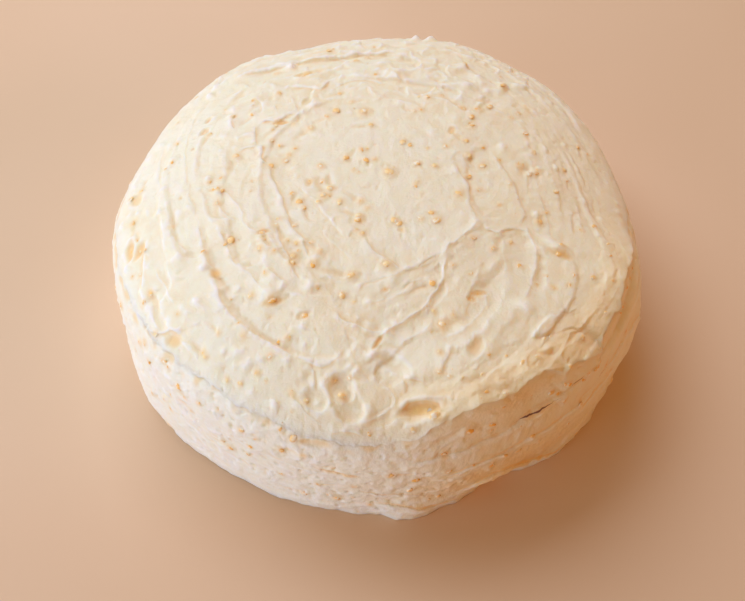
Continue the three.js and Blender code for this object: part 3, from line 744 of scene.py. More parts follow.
# The coat before its marks, and its grain.
WAVES = (0.55, 0.2)  # heights of the broad and the small waves
WAVE_LUMPS = ((0.25, 11, 6),)  # and lumps among them
FAR_LUMPS_FROM = (45, 80)  # how far away the far side's lumps grow from nothing
PINHOLES = 0.28  # how deep the cream's pinholes are
PINHOLE_LUMPS = (2.4, 14)  # how far apart they are, and their seed
PINHOLE_LEVELS = (0.36, 0.7)  # levels of the noise between which it becomes a pinhole
DRAWN = 0.10  # height of the grain that is drawn out along the rim
DRAWN_LUMPS = (2.2, 16)  # its size across, and its seed
DRAWN_OUT = 7  # how many times as long as wide it is
DRAWN_FROM = (30, 70)  # distances over which it grows from nothing

# The form of each kind of mark.
RAGGED = 0.65  # how much of a fold's, a ridge's or a slit's strength is uneven along it
RIPPLE = (4.6, 13, 19)  # a ripple's width from wave to wave, its length and its seed
SWIPE_START = 0.22  # share of a swipe over which the knife goes in
SWIPE_FLOOR = (0.88, 1.1)  # shares of its half width between which its floor ends
SWIPE_HEAP = (0.97, 1)  # the end of its track, where cream heaps up all round the knife
SWIPE_STRIAE = ((1, 1.7, 7), (0.7, 0.8, 8))  # its fine lines, in layers
STRIAE_SPEED = 0.12  # how fast they change along it, 1 being as fast as across it
FLAT_WALL = (0.8, 7)  # width of a flat's wall where the knife digs in, and how much wider it is opposite
FLAT_STRIAE = (2.2, 9)  # size and seed of its fine lines
FLAT_RIM_LUMPS = (0.9, 5, 10)  # unevenness of the crest round it
FOLD_ENDS = 0.16  # share of a fold over which each end fades
BEAD = (0.2, 0.9)  # height of the bead along a fold's edge, as a share of the fold, and its width
RIDGE_REACH = 12  # how far from a ridge's crest the cream is still raised
RIDGE_ENDS = (0.25, 0.12)  # share of its height at its ends, and share of its length over which it grows
RIDGE_SLOPES = ((0.55, 3.6), (0.45, 1.2))  # its long and its short slope: share of its height, and length
HOLLOW_DEPTH = 0.85  # what a hollow's depth in its table comes out at
HOLLOW_RIM = (0.2, 1.35, 0.25)  # its rim: share of its depth, then place and width as shares of its size
PEAK_POWER = 2.2  # 2 would be as pointed as a bell, and more is blunter
SLIT_ENDS = 0.3  # share of a slit over which each end fades
SLIT_WIDEST = (0.3, 0.45)  # how far along it is widest, and how far that goes on
SLIT_STAIN = (0.8, 1.2)  # how much juice colour lies along it, partly painted shade beside the slit, and how far that goes

# Round a bit of fruit, as shares of its size.
BIT_MOUND = (0.17, 0.75)  # height and width of the mound over it
BIT_DIP = (0.07, 1.05, 0.35)  # depth of the dip round it, its place and its width
BIT_GROOVE = (0.22, 0.45)  # depth and width of the groove behind a bit that was dragged
BIT_GROOVE_START = (0.4, 1.2)  # where the groove begins
BIT_GROOVE_END = (2, 4.5)  # and where it ends
BIT_TINT = 0.7  # how far its colour goes
BIT_GROOVE_TINT = (0.25, 0.5)  # how much of it the groove has, and how wide

# What the cream's material reads at each point of a coat.
CREAM_READS = ("stain", "thin", "crest", "edge", "edge_height", "cut", "cut_width")


def track(spots):
    """A smooth track through the spots, as points in small steps."""
    spots = np.array(spots, float)
    padded = np.vstack([2 * spots[0] - spots[1], spots, 2 * spots[-1] - spots[-2]])
    t = np.linspace(0, 1, TRACK_STEPS, endpoint=False)[:, None]
    steps = []
    for a, b, c, d in zip(padded, padded[1:], padded[2:], padded[3:]):
        bend = (2 * a - 5 * b + 4 * c - d) * t**2 + (3 * b - a - 3 * c + d) * t**3
        steps.append(0.5 * (2 * b + (c - a) * t + bend))
    return np.vstack([*steps, spots[-1]])


def beside(points, x, y, reach):
    """Which places lie within reach of a track, and for each one how far it is from the track, how far
    along it (0 to 1), how far to its left, and the millimetres gone along it."""
    low, high = points.min(axis=0) - reach, points.max(axis=0) + reach
    found = np.flatnonzero((x > low[0]) & (x < high[0]) & (y > low[1]) & (y < high[1]))
    start, step = points[:-1], np.diff(points, axis=0)
    length = np.hypot(*step.T)
    rel = np.stack([x[found], y[found]], axis=-1)[:, None] - start
    part = np.clip((rel * step).sum(axis=-1) / length**2, 0, 1)
    away = np.hypot(*np.moveaxis(rel - part[..., None] * step, -1, 0))
    nearest = np.argmin(away, axis=1)
    row = np.arange(len(found))
    distance = away[row, nearest]
    cross = step[nearest, 0] * rel[row, nearest, 1] - step[nearest, 1] * rel[row, nearest, 0]
    gone = np.append(0, np.cumsum(length))[nearest] + part[row, nearest] * length[nearest]
    keep = distance < reach
    left = np.where(cross < 0, -distance, distance)
    return found[keep], distance[keep], gone[keep] / length.sum(), left[keep], gone[keep]


def lifted(beyond):
    """A sheet's lifted edge, 1 high: it drops steeply at the edge and sinks away softly beyond it."""
    return smooth(-0.7, 0.5, beyond) * np.exp(-np.maximum(beyond, 0) / 1.6)


def ragged(gone, seed, size=4.0):
    """An uneven strength, about 0.1 to 1.9, that varies along a track."""
    return 1 + 0.9 * noise(np.stack([gone, 0 * gone + seed * 7.3, 0 * gone]), size, 5)


def varied(gone, seed, size):
    """The same strength, evened out: about 0.4 to 1.6."""
    return 1 - RAGGED + RAGGED * ragged(gone, seed, size)


def fading(along, share):
    """1 along most of a track, with a soft start and end that each take this share of it."""
    return smooth(0, share, along) * (1 - smooth(1 - share, 1, along))


class Surface:
    """The places of one coat where its height is worked out: unrolled x and y, azimuth and height of the
    plain form, and a place in space for grain."""

    def __init__(self, cake, azimuth, distance, on_side):
        self.cake, self.on_side = cake, on_side
        self.azimuth, self.distance = turned(azimuth), distance
        self.plain = plain = cake.at(distance)
        self.place = np.stack([*on_coat(self.azimuth, plain["radius"]), plain["height"]])
        x, y = on_coat(self.azimuth, distance)
        stray = uneven(self.place, STRAY_AWAY)
        self.x, self.y = x + uneven(self.place, STRAY_ACROSS), y + stray
        self.outer = smooth(*CENTRE_CALM, plain["radius"])
        power = SHOULDER_POWER + SQUARER * between(*SQUARER_HALF, LIP_SOFT, self.azimuth) * self.outer
        radius, height = cake.dome(plain["turn"], power)
        on_dome = plain["turn"] > 0
        self.height = np.where(on_dome, height, plain["height"])
        self.radius = np.where(on_dome, radius, plain["radius"])
        self.radius = self.radius + self.outer * swelling(self.azimuth, self.height)
        self.to_edge = lip_edge(self.azimuth) - distance
        self.under_lip = np.zeros(len(distance))
        if on_side:
            self.stand_under_lip(power)
        self.up = self.height + stray
        self.relief = np.zeros(len(distance))
        # Juice colour: painted shade under the lip's loose edge and painted warm shade on the right-hand
        # side; real juice stains round bits and more painted shade come later.
        self.stain = np.maximum(LIP_SHADE_STRENGTH * self.under_lip, warm_shade(self.azimuth, distance))
        patchy = THIN_LEAST + (1 - THIN_LEAST) * smooth(-0.3, 0.3, noise(self.place, *THIN_PATCHES))
        self.thin = patchy * between(*THIN_HALF, THIN_SOFT, self.azimuth) * smooth(*THIN_FROM, distance)
        self.edge = np.full(len(distance), NOWHERE)  # millimetres to the left of the nearest sheet's edge
        self.edge_height = np.zeros(len(distance))
        self.cut = np.full(len(distance), NOWHERE)  # millimetres from the middle of the nearest slit
        self.cut_width = np.zeros(len(distance))

    def stand_under_lip(self, power):
        """The side coat as an upright wall under the crisp half of the lip."""
        rim_radius, rim_height, plain_height = self.cake.lip_rim(self.azimuth, power)
        crisp = crispness(self.azimuth)
        tucked = smooth(0, TUCK_SOFT, self.to_edge)
        lift = np.exp(np.minimum(self.to_edge, 0) / WALL_LIFT) * (1 - tucked)
        self.height = self.height + crisp * lift * (rim_height - EDGE_ROUND - plain_height)
        calm_radius, calm_height, _ = self.cake.lip_rim(self.azimuth, power, ragged=0)
        near = smooth(*WALL_NOTCHED, self.to_edge)
        rim_radius = calm_radius + near * (rim_radius - calm_radius)
        rim_height = calm_height + near * (rim_height - calm_height)
        wall = rim_radius - LIP_STEP + WALL_LEAN * (rim_height - self.height)
        foot = np.interp(self.azimuth, *np.array(WALL_FOOT, float).T)
        upright = crisp * smooth(-WALL_SOFT, WALL_SOFT, self.height - foot)
        self.radius = self.radius + upright * (wall - self.radius)
        stands = (1 - upright) * (LIP_FAINT - LOOSE_BELOW) * smooth(*LOOSE_RISE, self.to_edge)
        self.radius = self.radius + stands - TUCK_IN * tucked
        lumps = uneven(self.place, FOOT_LUMPS) - FOOT_IN
        self.radius = self.radius + lumps * bell(self.height, FOOT_HEIGHT)
        # Painted shade, in the juice colour, along the crease under the lip's loose edge; it changes only the
        # colour.
        faint = 1 - crispness(self.azimuth, 3)
        patchy = smooth(-0.2, 0.4, noise(self.place, *LIP_SHADE_PATCHES))
        below, wide = LIP_SHADE_LINE
        self.under_lip = faint * bell(self.to_edge + below, wide) * patchy

    def by(self, spots, reach, by_height=False):
        """beside(), with the spots on the unrolled coat or, by height, as azimuths and heights."""
        if not by_height:
            return beside(track(spots), self.x, self.y, reach)
        middle, radius = spots[0][0], self.cake.belly_radius
        flat = [(math.radians(azimuth - middle) * radius, height) for azimuth, height in spots]
        x = np.radians(turned(self.azimuth - middle)) * radius
        return beside(track(flat), x, self.up, reach)

    def over(self, x, y, azimuth):
        """How far each place lies from a middle: along that azimuth, and to the right of it."""
        dx, dy = self.x - x, self.y - y
        ux, uy = on_coat(azimuth, 1)
        return dx * ux + dy * uy, dx * uy - dy * ux

    def stain_and_shade_at_least(self, at, juice_and_shade):
        self.stain[at] = np.maximum(self.stain[at], juice_and_shade)

    def note_edge(self, at, left, distance, strength):
        """Remembers the nearest edge, so that the material can draw it finer than the mesh, with a bump, a
        painted highlight along its rim and painted shade in the crease beneath.
        """
        nearer = distance < np.abs(self.edge[at])
        near = at[nearer]
        self.edge[near] = left[nearer]
        self.edge_height[near] = (strength * bell(distance, WIDEST_EDGE))[nearer]

    def waves(self):
        """Soft waves that the coat has before the last marks."""
        x, y = on_coat(self.azimuth, self.distance)
        broad = np.sin(x / 23 + 1.3) * np.sin(y / 27 + 0.4) + 0.6 * np.sin((x + y) / 17 + 2.1)
        small = np.sin(x / 7.3 + 2 * np.sin(y / 19)) * np.sin(y / 6.1 + 1.7 * np.sin(x / 23))
        self.relief += WAVES[0] * broad + WAVES[1] * small + uneven(self.place, WAVE_LUMPS)
        self.relief += smooth(*FAR_LUMPS_FROM, y) * uneven(self.place, FAR_LUMPS)

    def ripple(self, mark):
        (x, y), half, azimuth, height = mark
        width, length, seed = RIPPLE
        along, right = self.over(x, y, azimuth)
        waves = noise(np.stack([-right / width, along / length, 0 * along]), 1, seed)
        self.relief += height * bell(np.hypot(along, right), half) * waves

    def swipe(self, mark):
        width, depth, lean, crest, *spots = mark
        half = width / 2
        at, distance, along, left, gone = self.by(spots, width + 3)
        seed = abs(spots[0][0]) + abs(spots[-1][1])
        start = smooth(0, SWIPE_START, along)
        across = np.clip(left / half, -1, 1)
        inside = start * (1 - smooth(SWIPE_FLOOR[0] * half, SWIPE_FLOOR[1] * half, distance))
        floor = -SWIPE_DEPTH * depth * ((1 + lean * across) / 2 if lean else 1 - across**2)
        lines = np.stack([left, STRIAE_SPEED * gone + seed, 0 * gone])
        striae = STRIAE * (SIDE_STRIAE if self.on_side else 1)
        floor = floor + striae * uneven(lines, SWIPE_STRIAE)
        edge = CREST_HEIGHT * lifted(distance - half)
        side = 1.0 if lean == 0 else smooth(-0.3, 0.9, lean * left / half)
        side = np.maximum(side, smooth(*SWIPE_HEAP, along))
        pushed = crest * edge * side * start * ragged(gone, seed)
        self.relief[at] = self.relief[at] * (1 - EVENED * inside) + floor * inside + pushed

    def flat(self, mark):
        x, y, length, width, azimuth, depth, digs = mark
        along, right = self.over(x, y, azimuth)
        towards = self.over(x, y, digs)[0] / width
        out = np.hypot(along / length, right / width)
        reach = min(length, width)
        soft = FLAT_WALL[0] + FLAT_WALL[1] * (1 - np.clip(0.5 + towards, 0, 1))
        inside = 1 - smooth(-1, 1, (out - 1) * reach / soft)
        floor = -depth * np.clip(0.5 + 0.6 * towards, 0, 1.2)
        floor = floor + STRIAE * noise(np.stack([right, 0.1 * along, 0 * along]), *FLAT_STRIAE)
        rim = FLAT_CREST * lifted((out - 1) * reach - 0.6) * smooth(-0.3, 0.8, towards)
        rim = rim * (1 + uneven(self.place, (FLAT_RIM_LUMPS,)))
        self.relief = self.relief * (1 - EVENED * inside) + floor * inside + rim

    def fold(self, mark, by_height=False, crisp=True):
        height, reach, *spots = mark
        at, distance, along, left, gone = self.by(spots, 3 * reach, by_height)
        seed = abs(spots[0][0]) + abs(spots[-1][1])
        strength = FOLD_HEIGHT * height * fading(along, FOLD_ENDS) * varied(gone, seed, 5.0)
        if crisp:
            self.note_edge(at, left, distance, strength)
        # Painted shade, in the juice colour, in the crease on the low side of the fold's edge.
        juice_and_shade = SIDE_CREASE_SHADE if by_height else CREASE_SHADE
        self.stain_and_shade_at_least(at, juice_and_shade * np.clip(strength, 0, 1.2) * bell(left + 1.0, 0.9))
        step = smooth(-0.8, 0.8, left) - 0.5
        bead = BEAD[0] * bell(left - BEAD[1], BEAD[1])
        self.relief[at] += strength * (step * np.exp(-distance / reach) + bead)

    def side_fold(self, mark):
        self.fold(mark, by_height=True)

    def soft_fold(self, mark):
        self.fold(mark, crisp=False)

    def ridge(self, mark):
        height, *spots = mark
        at, distance, along, left, gone = self.by(spots, RIDGE_REACH)
        low, share = RIDGE_ENDS
        ends = low + (1 - low) * fading(along, share)
        slope = sum(share * np.exp(-np.maximum(left, 0) / length) for share, length in RIDGE_SLOPES)
        shape = np.where(left > 0, slope, bell(left, 0.8))
        strength = RIDGE_HEIGHT * height * ends * varied(gone, abs(spots[0][0]), 6.0)
        self.note_edge(at, left, distance, strength)
        self.relief[at] += strength * shape

    def hollow(self, mark):
        x, y, length, width, azimuth, depth, juice_and_shade = mark
        along, right = self.over(x, y, azimuth)
        out = np.hypot(along / length, right / width)
        rise, middle, width = HOLLOW_RIM
        self.relief += -HOLLOW_DEPTH * depth * np.exp(-(out**4)) + rise * depth * bell(out - middle, width)
        # Juice colour in the hollow, partly painted shade.
        self.stain_and_shade_at_least(slice(None), juice_and_shade * np.exp(-(out**3)))

    def peak(self, mark):
        x, y, height, reach = mark
        at = np.flatnonzero((np.abs(self.x - x) < 3 * reach) & (np.abs(self.y - y) < 3 * reach))
        away = np.hypot(self.x[at] - x, self.y[at] - y)
        self.relief[at] += height * np.exp(-((away / reach) ** PEAK_POWER))

    def slit(self, mark):
        depth, width, *spots = mark
        at, distance, along, left, gone = self.by(spots, 5, by_height=True)
        ends, (widest, goes_on) = fading(along, SLIT_ENDS), SLIT_WIDEST
        narrow = width * ends * bell(along - widest, goes_on) * varied(gone, depth, 2.5)
        self.relief[at] -= depth * bell(distance, 2 * width)
        self.cut[at], self.cut_width[at] = left, narrow
        # Juice colour along the slit, partly painted shade.
        self.stain_and_shade_at_least(at, SLIT_STAIN[0] * ends * bell(distance, SLIT_STAIN[1]))

    def press_bits(self):
        """Cream heaps up over each bit, dips beside it, takes its colour, and is grooved where it dragged."""
        for azimuth, distance, size, shows, drag in zip(*self.cake.fruit.values()):
            x, y = on_coat(azimuth, distance)
            stretch = distance / self.cake.at(distance)["radius"] if distance > LEVEL_TOP else 1.0
            near = BIT_REACH * stretch
            at = np.flatnonzero((np.abs(self.x - x) < near) & (np.abs(self.y - y) < near))
            dx, dy = self.x[at] - x, self.y[at] - y
            ox, oy = on_coat(azimuth, 1)
            outward, round_it = dx * ox + dy * oy, (dy * ox - dx * oy) / stretch
            away = np.hypot(outward, round_it)
            high, wide = size * BIT_MOUND[0], size * BIT_MOUND[1]
            mound = high * bell(away, wide)
            deep, out, wide = (share * size for share in BIT_DIP)
            dip = deep * bell(away - out, wide)
            self.relief[at] += mound * (1.1 - 0.6 * shows) - dip * shows
            tail = np.clip(drag * round_it, 0, None)
            groove = smooth(BIT_GROOVE_START[0] * size, BIT_GROOVE_START[1] * size, tail)
            groove = groove * (1 - smooth(BIT_GROOVE_END[0] * size, BIT_GROOVE_END[1] * size, tail))
            self.relief[at] -= BIT_GROOVE[0] * size * groove * bell(outward, BIT_GROOVE[1] * size)
            in_groove = BIT_GROOVE_TINT[0] * groove * bell(outward, BIT_GROOVE_TINT[1] * size)
            tint = bell(away, BIT_TINT * size) + in_groove
            self.stain_and_shade_at_least(at, tint * (0.55 + 0.45 * shows))

    def grain(self, rough):
        """The fine grain of whipped cream, its lumps and its pinholes, drawn out along the rim."""
        holes = PINHOLES * smooth(*PINHOLE_LEVELS, noise(self.place, *PINHOLE_LUMPS))
        round_it = np.radians(self.azimuth) * self.distance
        places = np.stack([self.distance, round_it / DRAWN_OUT, 0 * round_it])
        drawn = DRAWN * noise(places, *DRAWN_LUMPS) * smooth(*DRAWN_FROM, self.distance)
        self.relief += (1 + rough) * (uneven(self.place, GRAIN) - holes)
        self.relief += (1 + 0.5 * rough) * uneven(self.place, LUMPS) + drawn

    def channels(self, rows, columns):
        """What the cream's material reads at each place, where the places make a grid."""
        # The crest reading places painted shade in hollows and a painted highlight on crests.
        self.crest = raised(self.relief.reshape(rows, columns))
        return {key: getattr(self, key) for key in CREAM_READS}


def work(surface, *steps):
    """Makes marks in the order that the cream was worked: each step is a kind of mark, then its marks."""
    for kind, marks in steps:
        for mark in marks:
            getattr(surface, kind)(mark)


def work_top(surface):
    loose = (
        *dabs(count=170, low=30, high=122),
        *dabs(count=110, low=62, high=122, middle=88, spread=48, strength=2.4),
    )
    work(
        surface,
        ("swipe", far_rim_swipes()), ("soft_fold", smears(count=70, low=52, high=122, spread=9)),
        ("swipe", (*FLANK_SWIPES, *FAR_SWIPES, *NEAR_SWIPES)), ("flat", FLATS), ("ridge", RIDGES),
        ("fold", FOLDS), ("ripple", RIPPLES), ("hollow", HOLLOWS), ("soft_fold", loose), ("peak", PEAKS))
    surface.relief *= 1 + FAR_ROUGHER * smooth(*FAR_SIDE, surface.y)


def work_side(surface):
    end = surface.cake.coat_length
    loose = smears(count=36, low=128, high=end - 4, spread=5)
    work(surface, ("swipe", side_swipes(end)), ("soft_fold", loose))
    surface.relief *= 1 - THIN_CALMER * surface.thin
    loose = dabs(count=150, low=124, high=end - 3)
    work(surface, ("side_fold", SIDE_FOLDS), ("soft_fold", loose), ("slit", SLITS))


def coat_places(cake, azimuth, distance, on_side):
    """Where places of a coat end up, in millimetres (N x 3), and the surface they were worked out with."""
    surface = Surface(cake, azimuth, distance, on_side)
    surface.waves()
    (work_side if on_side else work_top)(surface)
    work(surface, ("peak", covered_bits(on_side)))
    meeting = (1 - crispness(surface.azimuth, 6)) * bell(surface.to_edge, MEETING)
    surface.relief *= 1 - MEETING_CALM * meeting
    surface.press_bits()
    surface.grain(ROUGH_THIN * surface.thin + ROUGH_SIDE * on_side)
    depth = cake.marks * surface.relief * smooth(0, BASE_CALM, surface.height)
    if not on_side:
        thick = cake.lip_thickness(surface.azimuth)
        stands = thick * (1 - np.clip(surface.to_edge / LIP_FADE, 0, 1)) ** 1.5
        depth = depth + surface.outer * stands
    radius = surface.radius + surface.plain["out"] * depth
    height = surface.height + surface.plain["up"] * depth
    return np.stack([*on_coat(surface.azimuth, radius), height], axis=-1), surface


# ---- Bits of fruit ----
# Where the larger bits lie. On the top: x, y, size. On the side: azimuth, height, size.
TOP_BITS = (
    (-36, 75, 4.4), (-1.5, 72, 2.0), (-7, 45, 4.2), (-20, 46.5, 2.2), (-18.5, 58.5, 1.8), (-4, 35.5, 2.6),
    (-8, 19.5, 2.4), (-15.5, 14.5, 2.4), (4.5, 5.5, 4.2), (14, 22.5, 2.0), (22, 20.5, 1.8),
    (17.5, 11.5, 1.8), (16.5, 45, 1.8), (19.5, 46, 2.4), (29.5, 56, 2.4), (23, 54.5, 2.2),
    (39.5, 48, 2.8), (46, 48, 2.8), (42, 38, 1.8), (43, 36, 2.0), (33.5, 31.5, 2.4), (30, 22, 2.4),
    (40, 26, 2.2), (47.5, 22.5, 2.2), (40.5, 16.5, 2.8), (40.5, 4.5, 2.0), (47, 11, 2.8),
    (71.5, 22.5, 1.8), (68.5, 34, 2.2), (65, 13, 2.0), (68.5, 8.5, 1.8), (72.5, 10.5, 2.8),
    (62.5, 44, 2.6), (60, 68.5, 2.8), (42, 83.5, 2.2), (-65.5, 18.5, 3.2), (-73.5, -1, 2.8),
    (-49.5, 34.5, 2.2), (-48, 37, 2.0), (-45.5, 24, 2.0), (-49.5, 27, 2.2), (-38.5, 21, 2.2),
    (-41, 17.5, 2.6), (-42.5, 14, 2.8), (-26.5, 10, 2.6), (-49, 11, 2.8), (-31.5, 34.5, 2.8),
    (-39.5, 38.5, 2.2), (-24.5, 42, 1.8), (-20, 45.5, 2.8), (-31, 1, 2.4), (-25.5, 0.5, 2.2),
    (-25, -7.5, 3.2), (-22, -3.5, 2.6), (-39, -6, 2.4), (-60, 57, 2.4), (-47.5, 60.5, 2.0),
    (-71.5, 6, 2.0), (-98.5, 23, 2.0), (-113.5, 9.5, 2.4), (-118.5, 7, 2.2), (-69, 46.5, 1.8),
    (-15, 14.5, 2.8), (-6, 13, 2.8), (-2.5, 13.5, 2.4), (17, 11, 2.8), (16, -2.5, 2.2), (-21.5, -3, 1.8),
    (-22.5, -7.5, 2.2), (-27, -11.5, 2.4), (-8.5, -11.5, 2.6), (-5.5, -15.5, 2.2), (-9.5, -22, 3.2),
    (8.5, -24, 2.8), (6.5, -22.5, 2.8), (9.5, -28, 2.4), (-10, -27.5, 2.0), (-7.5, -29.5, 2.4),
    (23, -18, 2.4), (25, -22.5, 3.4), (18, -21.5, 2.4), (-37, -24.5, 2.2), (-36, -34, 2.4),
    (-40, -32.5, 2.4), (-37.5, -41, 3.6), (-35.5, -38.5, 2.0), (-38, -45, 3.4), (-28.5, -45.5, 3.2),
    (-30, -34, 2.0), (-25.5, -38.5, 2.2), (3, -46, 3.8), (-12, -51.5, 4.0), (2, -58.5, 2.2),
    (22.5, -55.5, 2.8), (-16, -61.5, 2.8), (-51.5, -27.5, 3.0), (-45.5, -23.5, 1.8), (-44.5, -20.5, 1.8),
    (-45.5, -63, 3.2), (-26.5, -58, 1.8), (-35.5, -11, 3.4), (-33.5, -14.5, 2.4), (-31.5, -70.5, 2.6),
    (35.5, -7, 4.0), (44.5, -3.5, 2.2), (40, 4, 2.4), (41, 16, 2.4), (58.5, 0.5, 2.6), (63.5, 13.5, 2.4),
    (68, 7.5, 2.6), (71.5, 9, 2.2), (71.5, 21.5, 2.0), (88.5, 15, 2.6), (89, 8, 2.0), (105.5, 34, 1.8),
    (80.5, -1.5, 2.4), (86.5, -22, 2.0), (95.5, -19, 2.6), (84.5, -45.5, 2.6), (77, -45, 2.4),
    (68.5, -52, 2.2), (74.5, -50, 2.0), (59.5, -44.5, 2.2), (57, -32.5, 2.4), (49, -36.5, 2.6),
    (40.5, -31.5, 2.4), (41.5, -59.5, 2.2), (38.5, -62.5, 2.6), (70.5, -20, 3.2), (74, -14.5, 2.4),
    (74, -35.5, 3.4), (94.5, -48, 2.0), (112, -43.5, 2.2), (107, -50, 1.8), (81.5, -76, 2.8),
    (66, -74, 1.8), (54.5, -87.5, 2.6), (55, -95.5, 2.0), (76.5, -90.5, 2.2), (93.5, -81.5, 2.8),
    (98, -90.5, 2.8), (93.5, -93.5, 2.0), (51.5, -111.5, 1.8), (108, -59.5, 2.2), (25.5, -73.5, 3.2),
    (30, -69.5, 2.0), (-16, -106.5, 3.2), (-31, -108, 2.2), (-19, -100, 2.4), (-12.5, -99, 1.8),
    (-4.5, -122, 1.8), (22.5, -68.5, 2.2), (23, -92, 2.6), (-71, -48, 2.8), (-65, -30.5, 3.4),
    (-67.5, -32.5, 1.8), (-74, -0.5, 2.2), (-71, -2.5, 2.6), (-55, -60, 2.6), (-92, -18.5, 2.2),
    (-77, -35.5, 1.8), (-87.5, -64, 2.2), (-105.5, -54, 2.2), (-115, -25, 2.2), (-110, -26.5, 2.0),
    (-102, -50.5, 2.8), (-51.5, -36.5, 2.6), (-49, -49, 2.4), (-109, -71.5, 2.8), (-113.5, -70, 2.8),
    (-99.5, -70, 2.4), (-97, -82.5, 2.6), (-93, -95.5, 2.8), (-82.5, -104.5, 1.8), (-76, -83.5, 2.2),
    (-58, -78, 2.4), (-68.5, -75.5, 2.0), (-52, -95, 2.4), (-65.5, -96.5, 2.2), (-59.5, -98.5, 2.0),
    (-46, -88.5, 2.2), (-42, -82, 2.4), (-38.5, -80.5, 2.4), (-43, -118.5, 2.0), (-31.5, -108, 2.2),
    (-37, -104, 2.4),
)
SIDE_BITS = (
    (-72.6, 56, 4.4), (-67.8, 49.6, 4.0), (-64.5, 67.7, 2.6), (-67.5, 53.2, 3.0), (-50.1, 56.2, 4.2),
    (-53.5, 54.7, 3.0), (-46.2, 53, 2.4), (-31, 21.3, 3.6), (-79, 66.8, 4.4), (-67.3, 31.5, 3.6),
    (-60, 76.2, 1.6), (-49.9, 75.4, 2.2), (-42.7, 6.7, 2.4), (-76.5, 38, 3.2), (-54, 11.5, 5),
    (-88, 40, 3.4), (-95, 30, 2.4), (-105, 50, 2.6), (-110, 28, 2.2), (-84, 26, 2.8), (-118, 52, 2.6),
    (-123, 35, 2.2), (-131, 44, 2.6), (-138, 28, 2.4), (-78, 14, 2.6), (-92, 12, 2.4), (-58, 40, 2.4),
    (-52, 52, 2.6), (-46, 42, 2.8), (-61, 33, 2.4), (-54, 20, 2.6), (-41, 54, 2.4), (-36, 40, 2.6),
    (-99, 44, 2.2), (-48, 30, 2.4), (-66, 16, 2.6), (-28, 46, 2.4), (-144, 50, 2.6), (-152, 38, 2.6),
    (-160, 50, 3.4), (-168, 42, 2.4), (-64.5, 36.5, 2.8), (-37.3, 45, 3.2), (-42.3, 53, 3.0),
    (-77.5, 47.2, 3.0), (-98.6, 15.3, 3.2), (-105.5, 14.5, 2.8), (-121.4, 31.8, 3.2), (-107.1, 57.8, 4.0),
    (-109.5, 48.3, 3.0), (-83, 35, 3.0), (-102.5, 27, 2.0), (-115, 50.4, 2.4),
)
BITS_SEED = 27
DRAGGED = 0.3  # share of the bits that the knife dragged, which leaves a groove
SHOWS = (0.1, 0.55, 0.35)  # how far every bit shows, how much chance adds, and how much a large bit gets
LARGE_BIT = (2.3, 3.2)  # sizes between which a bit becomes a large one
BIT_REACH = 16  # how far from a bit the cream is still changed by it
LEVEL_TOP = 60  # up to this distance the top is so level that the unrolled coat isn't stretched
TOP_END = 122  # how far from the middle the top's scattered bits go
SIDE_START = 126  # and where the side's begin
BASE_GAP = 3  # how far above the base they stop


def fruit_places(cake, sizes):
    """Every bit: azimuth, distance from the middle along the coat, size, how far it shows (0 buried to 1),
    and which way it was dragged. The larger ones come first, then the seeded ones."""
    draw = np.random.default_rng(BITS_SEED)
    x, y, top_size = np.array(TOP_BITS, float).T
    azimuth, height, side_size = np.array(SIDE_BITS, float).T
    side_distance = np.interp(-height, -cake.profile["height"], cake.profile["distance"])
    azimuths, distances = [np.degrees(np.arctan2(y, x)), azimuth], [np.hypot(x, y), side_distance]
    bits = [top_size, side_size]
    smallest, largest = millimetres(sizes.bit_smallest), millimetres(sizes.bit_largest)
    base = cake.coat_length - BASE_GAP
    for low, high, more in ((0, TOP_END, sizes.bits_top), (SIDE_START, base, sizes.bits_side)):
        azimuths.append(draw.uniform(-180, 180, more))
        evenly = np.sqrt(draw.uniform(low**2, high**2, more)) if low == 0 else draw.uniform(low, high, more)
        distances.append(evenly)
        bits.append(smallest + (largest - smallest) * draw.uniform(0, 1, more) ** 1.8)
    size = np.concatenate(bits)
    shows = SHOWS[0] + SHOWS[1] * draw.uniform(0, 1, len(size)) ** 2 + SHOWS[2] * smooth(*LARGE_BIT, size)
    drag = np.where(draw.uniform(0, 1, len(size)) < DRAGGED, draw.choice((-1.0, 1.0), len(size)), 0.0)
    return {
        "azimuth": np.concatenate(azimuths), "distance": np.concatenate(distances), "size": size,
        "shows": shows, "drag": drag,
    }


# Bits on the cake: least and most length, width and thickness, as shares of a bit's size.
BIT_SHAPE = ((0.85, 0.7, 0.22), (1.4, 1.1, 0.42))
BIT_STANDS = 0.09  # how much more of its size stands out of the cream as it shows more
BIT_SUNK = 0.014  # and how much less for all of them
SIDE_RIPER = 0.45  # how much riper the bits on the side are
LUMP_KINDS = 4  # how many shapes of bit there are
SPECK_SIZE = (0.4, 1)  # least and most, as shares of the largest speck
SPECK_SHOWS = (0.2, 0.9)
SPECK_END = 0.97  # share of the coat's area in which specks lie, the rest being at the base


def speck_places(cake, sizes):
    """Every speck of zest, evenly all over the cake: azimuth, distance, size and how far it shows."""
    draw = np.random.default_rng(BITS_SEED + 1)
    azimuth = draw.uniform(-180, 180, sizes.specks)
    distance = cake.coat_length * np.sqrt(draw.uniform(0, SPECK_END, sizes.specks))
    size = millimetres(sizes.speck) * draw.uniform(*SPECK_SIZE, sizes.specks)
    shows = draw.uniform(*SPECK_SHOWS, sizes.specks)
    return {"azimuth": azimuth, "distance": distance, "size": size, "shows": shows}


